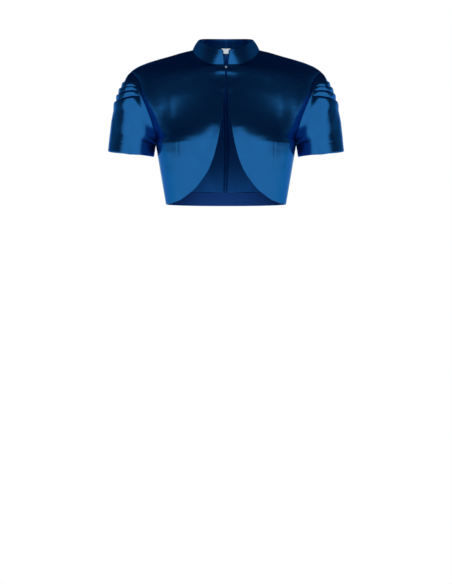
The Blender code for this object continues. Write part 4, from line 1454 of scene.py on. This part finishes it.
# The label's waves: their depth at this height above its foot, and radians per metre.
LABEL_CURL = 0.0003
LABEL_CURL_UP = 0.01
LABEL_WAVES = 260.0
# The collar's x at the label's height, as a share of its x at the top edge.
COLLAR_LEAN = 0.93


def label_point(x, z):
    """Point of the label against the collar's inner face."""
    low, high = 0.6, 1.0
    for _ in range(30):
        q = (low + high) / 2
        if collar_top(q)[0] > abs(x) * COLLAR_LEAN:
            low = q
        else:
            high = q
    base, top = neckline(q), collar_top(q)
    v = (z - base[2]) / (top[2] - base[2])
    y = (1 - v) * base[1] + v * top[1] + COLLAR_BOW * math.sin(math.pi * v)
    return np.array((x, y - (WALL + 2 * LAYER_GAP), z))


def add_wire(name, route, radius, material, cyclic=False):
    """A round wire or thread along a route."""
    data = bpy.data.curves.new(name, "CURVE")
    data.dimensions = "3D"
    data.bevel_depth = radius
    data.bevel_resolution = 2
    data.use_fill_caps = True
    spline = data.splines.new("POLY")
    spline.points.add(len(route) - 1)
    for point, place in zip(spline.points, route):
        point.co = (*place, 1.0)
    spline.use_cyclic_u = cyclic
    data.materials.append(material)
    piece = bpy.data.objects.new(name, data)
    bpy.context.scene.collection.objects.link(piece)
    return piece


def joined(name, parts, material):
    """Several wires as one mesh."""
    graph = bpy.context.evaluated_depsgraph_get()
    points, faces = [], []
    for part in parts:
        mesh = part.evaluated_get(graph).to_mesh()
        start = len(points)
        points += [tuple(part.matrix_world @ v.co) for v in mesh.vertices]
        faces += [[start + v for v in face.vertices] for face in mesh.polygons]
        bpy.data.objects.remove(part, do_unlink=True)
    mesh = bpy.data.meshes.new(name)
    mesh.from_pydata(points, [], faces)
    mesh.materials.append(material)
    mesh.shade_smooth()
    piece = bpy.data.objects.new(name, mesh)
    bpy.context.scene.collection.objects.link(piece)
    return piece


def short_stitch(start, end, out, count=6):
    """Points of one stitch that arches over the cloth."""
    start, end, out = (np.array(v, float) for v in (start, end, out))
    shares = np.linspace(0, 1, count)
    return [tuple(start + (end - start) * u + out * math.sin(math.pi * u)) for u in shares]


label_x = np.linspace(-LABEL_HALF_WIDTH, LABEL_HALF_WIDTH, LABEL_COLUMNS)
label_z = np.linspace(LABEL_BOTTOM_Z, LABEL_TOP_Z, LABEL_ROWS)
label_shape = np.array([[label_point(x, z) for x in label_x] for z in label_z])
label_curl = LABEL_CURL * np.sin(label_shape[..., 0] * LABEL_WAVES)
label_curl *= (label_shape[..., 2] - LABEL_BOTTOM_Z) / LABEL_CURL_UP
label_shape[..., 1] -= np.abs(label_curl)
label = make_cloth("neck_label_cloth", [label_shape], label_tape, thickness=LABEL_THICKNESS)
tacks = []
for side in (-1, 1):
    for k in range(STITCHES_PER_END):
        x = side * (LABEL_HALF_WIDTH - STITCH_INSET)
        z = LABEL_BOTTOM_Z + STITCH_FIRST_UP + STITCH_PITCH * k
        start, end = label_point(x, z), label_point(x + side * STITCH_SLANT, z + STITCH_LENGTH)
        route = short_stitch(start, end, STITCH_ARCH)
        tacks.append(add_wire("tack", route, STITCH_RADIUS, pale_thread))
label_tacks = joined("label_tacks", tacks, pale_thread)
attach(label_tacks, "root")
declare(label, [label_shape], "neck_label")

# %% [markdown]
# ## Hook and eye
# The fronts are held at the neck by one small hook and eye of nickel wire. Each foot is sewn down
# with a few turns of blue thread. The wires follow the same route as their solids, with rounder
# bends.

# %% Hook, eye and their thread
FASTENER_WIRE = 0.00045
EYE_RADIUS = 0.0016
EYE_CENTRE_X = 0.0003
HOOK_BEND = 0.0013
HOOK_CENTRE_X = -0.0004
FOOT_REACH = 0.0060
FOOT_SPREAD = 0.0012
FOOT_CLEARANCE = 0.0031
EYE_SWEEP = 220
EYE_POINTS = 25
HOOK_POINTS = 19
HOOK_TAIL = 1.6
THREAD_RADIUS = 0.00014
THREAD_TURNS = 5
THREAD_FIRST_IN = 0.0009
THREAD_PITCH_ON_FOOT = 0.0006
THREAD_HALF_HEIGHT = 0.0011
THREAD_SINK = 0.0004
THREAD_ARCH = (0.0, 0.0016, 0.0)


def fastener_seat():
    """y and z of the fastener's feet, behind the fronts."""
    low, high = 0.0, 0.3
    for _ in range(30):
        s = (low + high) / 2
        if panel_point(s, T_FASTENER, -1)[0] < FOOT_REACH:
            low = s
        else:
            high = s
    x, y, z = panel_point(low, T_FASTENER, -1)
    return y + FOOT_CLEARANCE, z


seat_y, fastener_z = fastener_seat()
loop_y = seat_y + HOOK_BEND
eye_route = [(-FOOT_REACH, seat_y, fastener_z + FOOT_SPREAD)]
eye_route.append((-FOOT_REACH / 2, loop_y, fastener_z + FOOT_SPREAD))
for i in range(EYE_POINTS):
    angle = math.radians(EYE_SWEEP / 2 - EYE_SWEEP * i / (EYE_POINTS - 1))
    x = EYE_CENTRE_X + EYE_RADIUS * math.cos(angle)
    eye_route.append((x, loop_y, fastener_z + EYE_RADIUS * math.sin(angle)))
eye_route.append((-FOOT_REACH / 2, loop_y, fastener_z - FOOT_SPREAD))
eye_route.append((-FOOT_REACH, seat_y, fastener_z - FOOT_SPREAD))
hook_route = [(FOOT_REACH, seat_y, fastener_z), (FOOT_REACH / 3, seat_y, fastener_z)]
for i in range(HOOK_POINTS):
    angle = math.pi * i / (HOOK_POINTS - 1)
    x = HOOK_CENTRE_X - HOOK_BEND * math.sin(angle)
    hook_route.append((x, seat_y + HOOK_BEND * (1 - math.cos(angle)), fastener_z))
hook_route.append((HOOK_CENTRE_X + HOOK_BEND * HOOK_TAIL, seat_y + 2 * HOOK_BEND, fastener_z))
for name, route in (("neck_eye", eye_route), ("neck_hook", hook_route)):
    wire = add_wire(f"{name}_wire", route, FASTENER_WIRE, nickel)
    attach(wire, "root")
    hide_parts(name)

turns = []
for x, z in ((-1, FOOT_SPREAD), (-1, -FOOT_SPREAD), (1, 0.0)):
    for k in range(THREAD_TURNS):
        at = x * (FOOT_REACH - THREAD_FIRST_IN - THREAD_PITCH_ON_FOOT * k)
        low = (at, seat_y - THREAD_SINK, fastener_z + z - THREAD_HALF_HEIGHT)
        high = (at, seat_y - THREAD_SINK, fastener_z + z + THREAD_HALF_HEIGHT)
        turns.append(add_wire("turn", short_stitch(low, high, THREAD_ARCH), THREAD_RADIUS, thread))
fastener_thread = joined("fastener_thread", turns, thread)
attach(fastener_thread, "root")
print("hook and eye at z", round(fastener_z, 4))
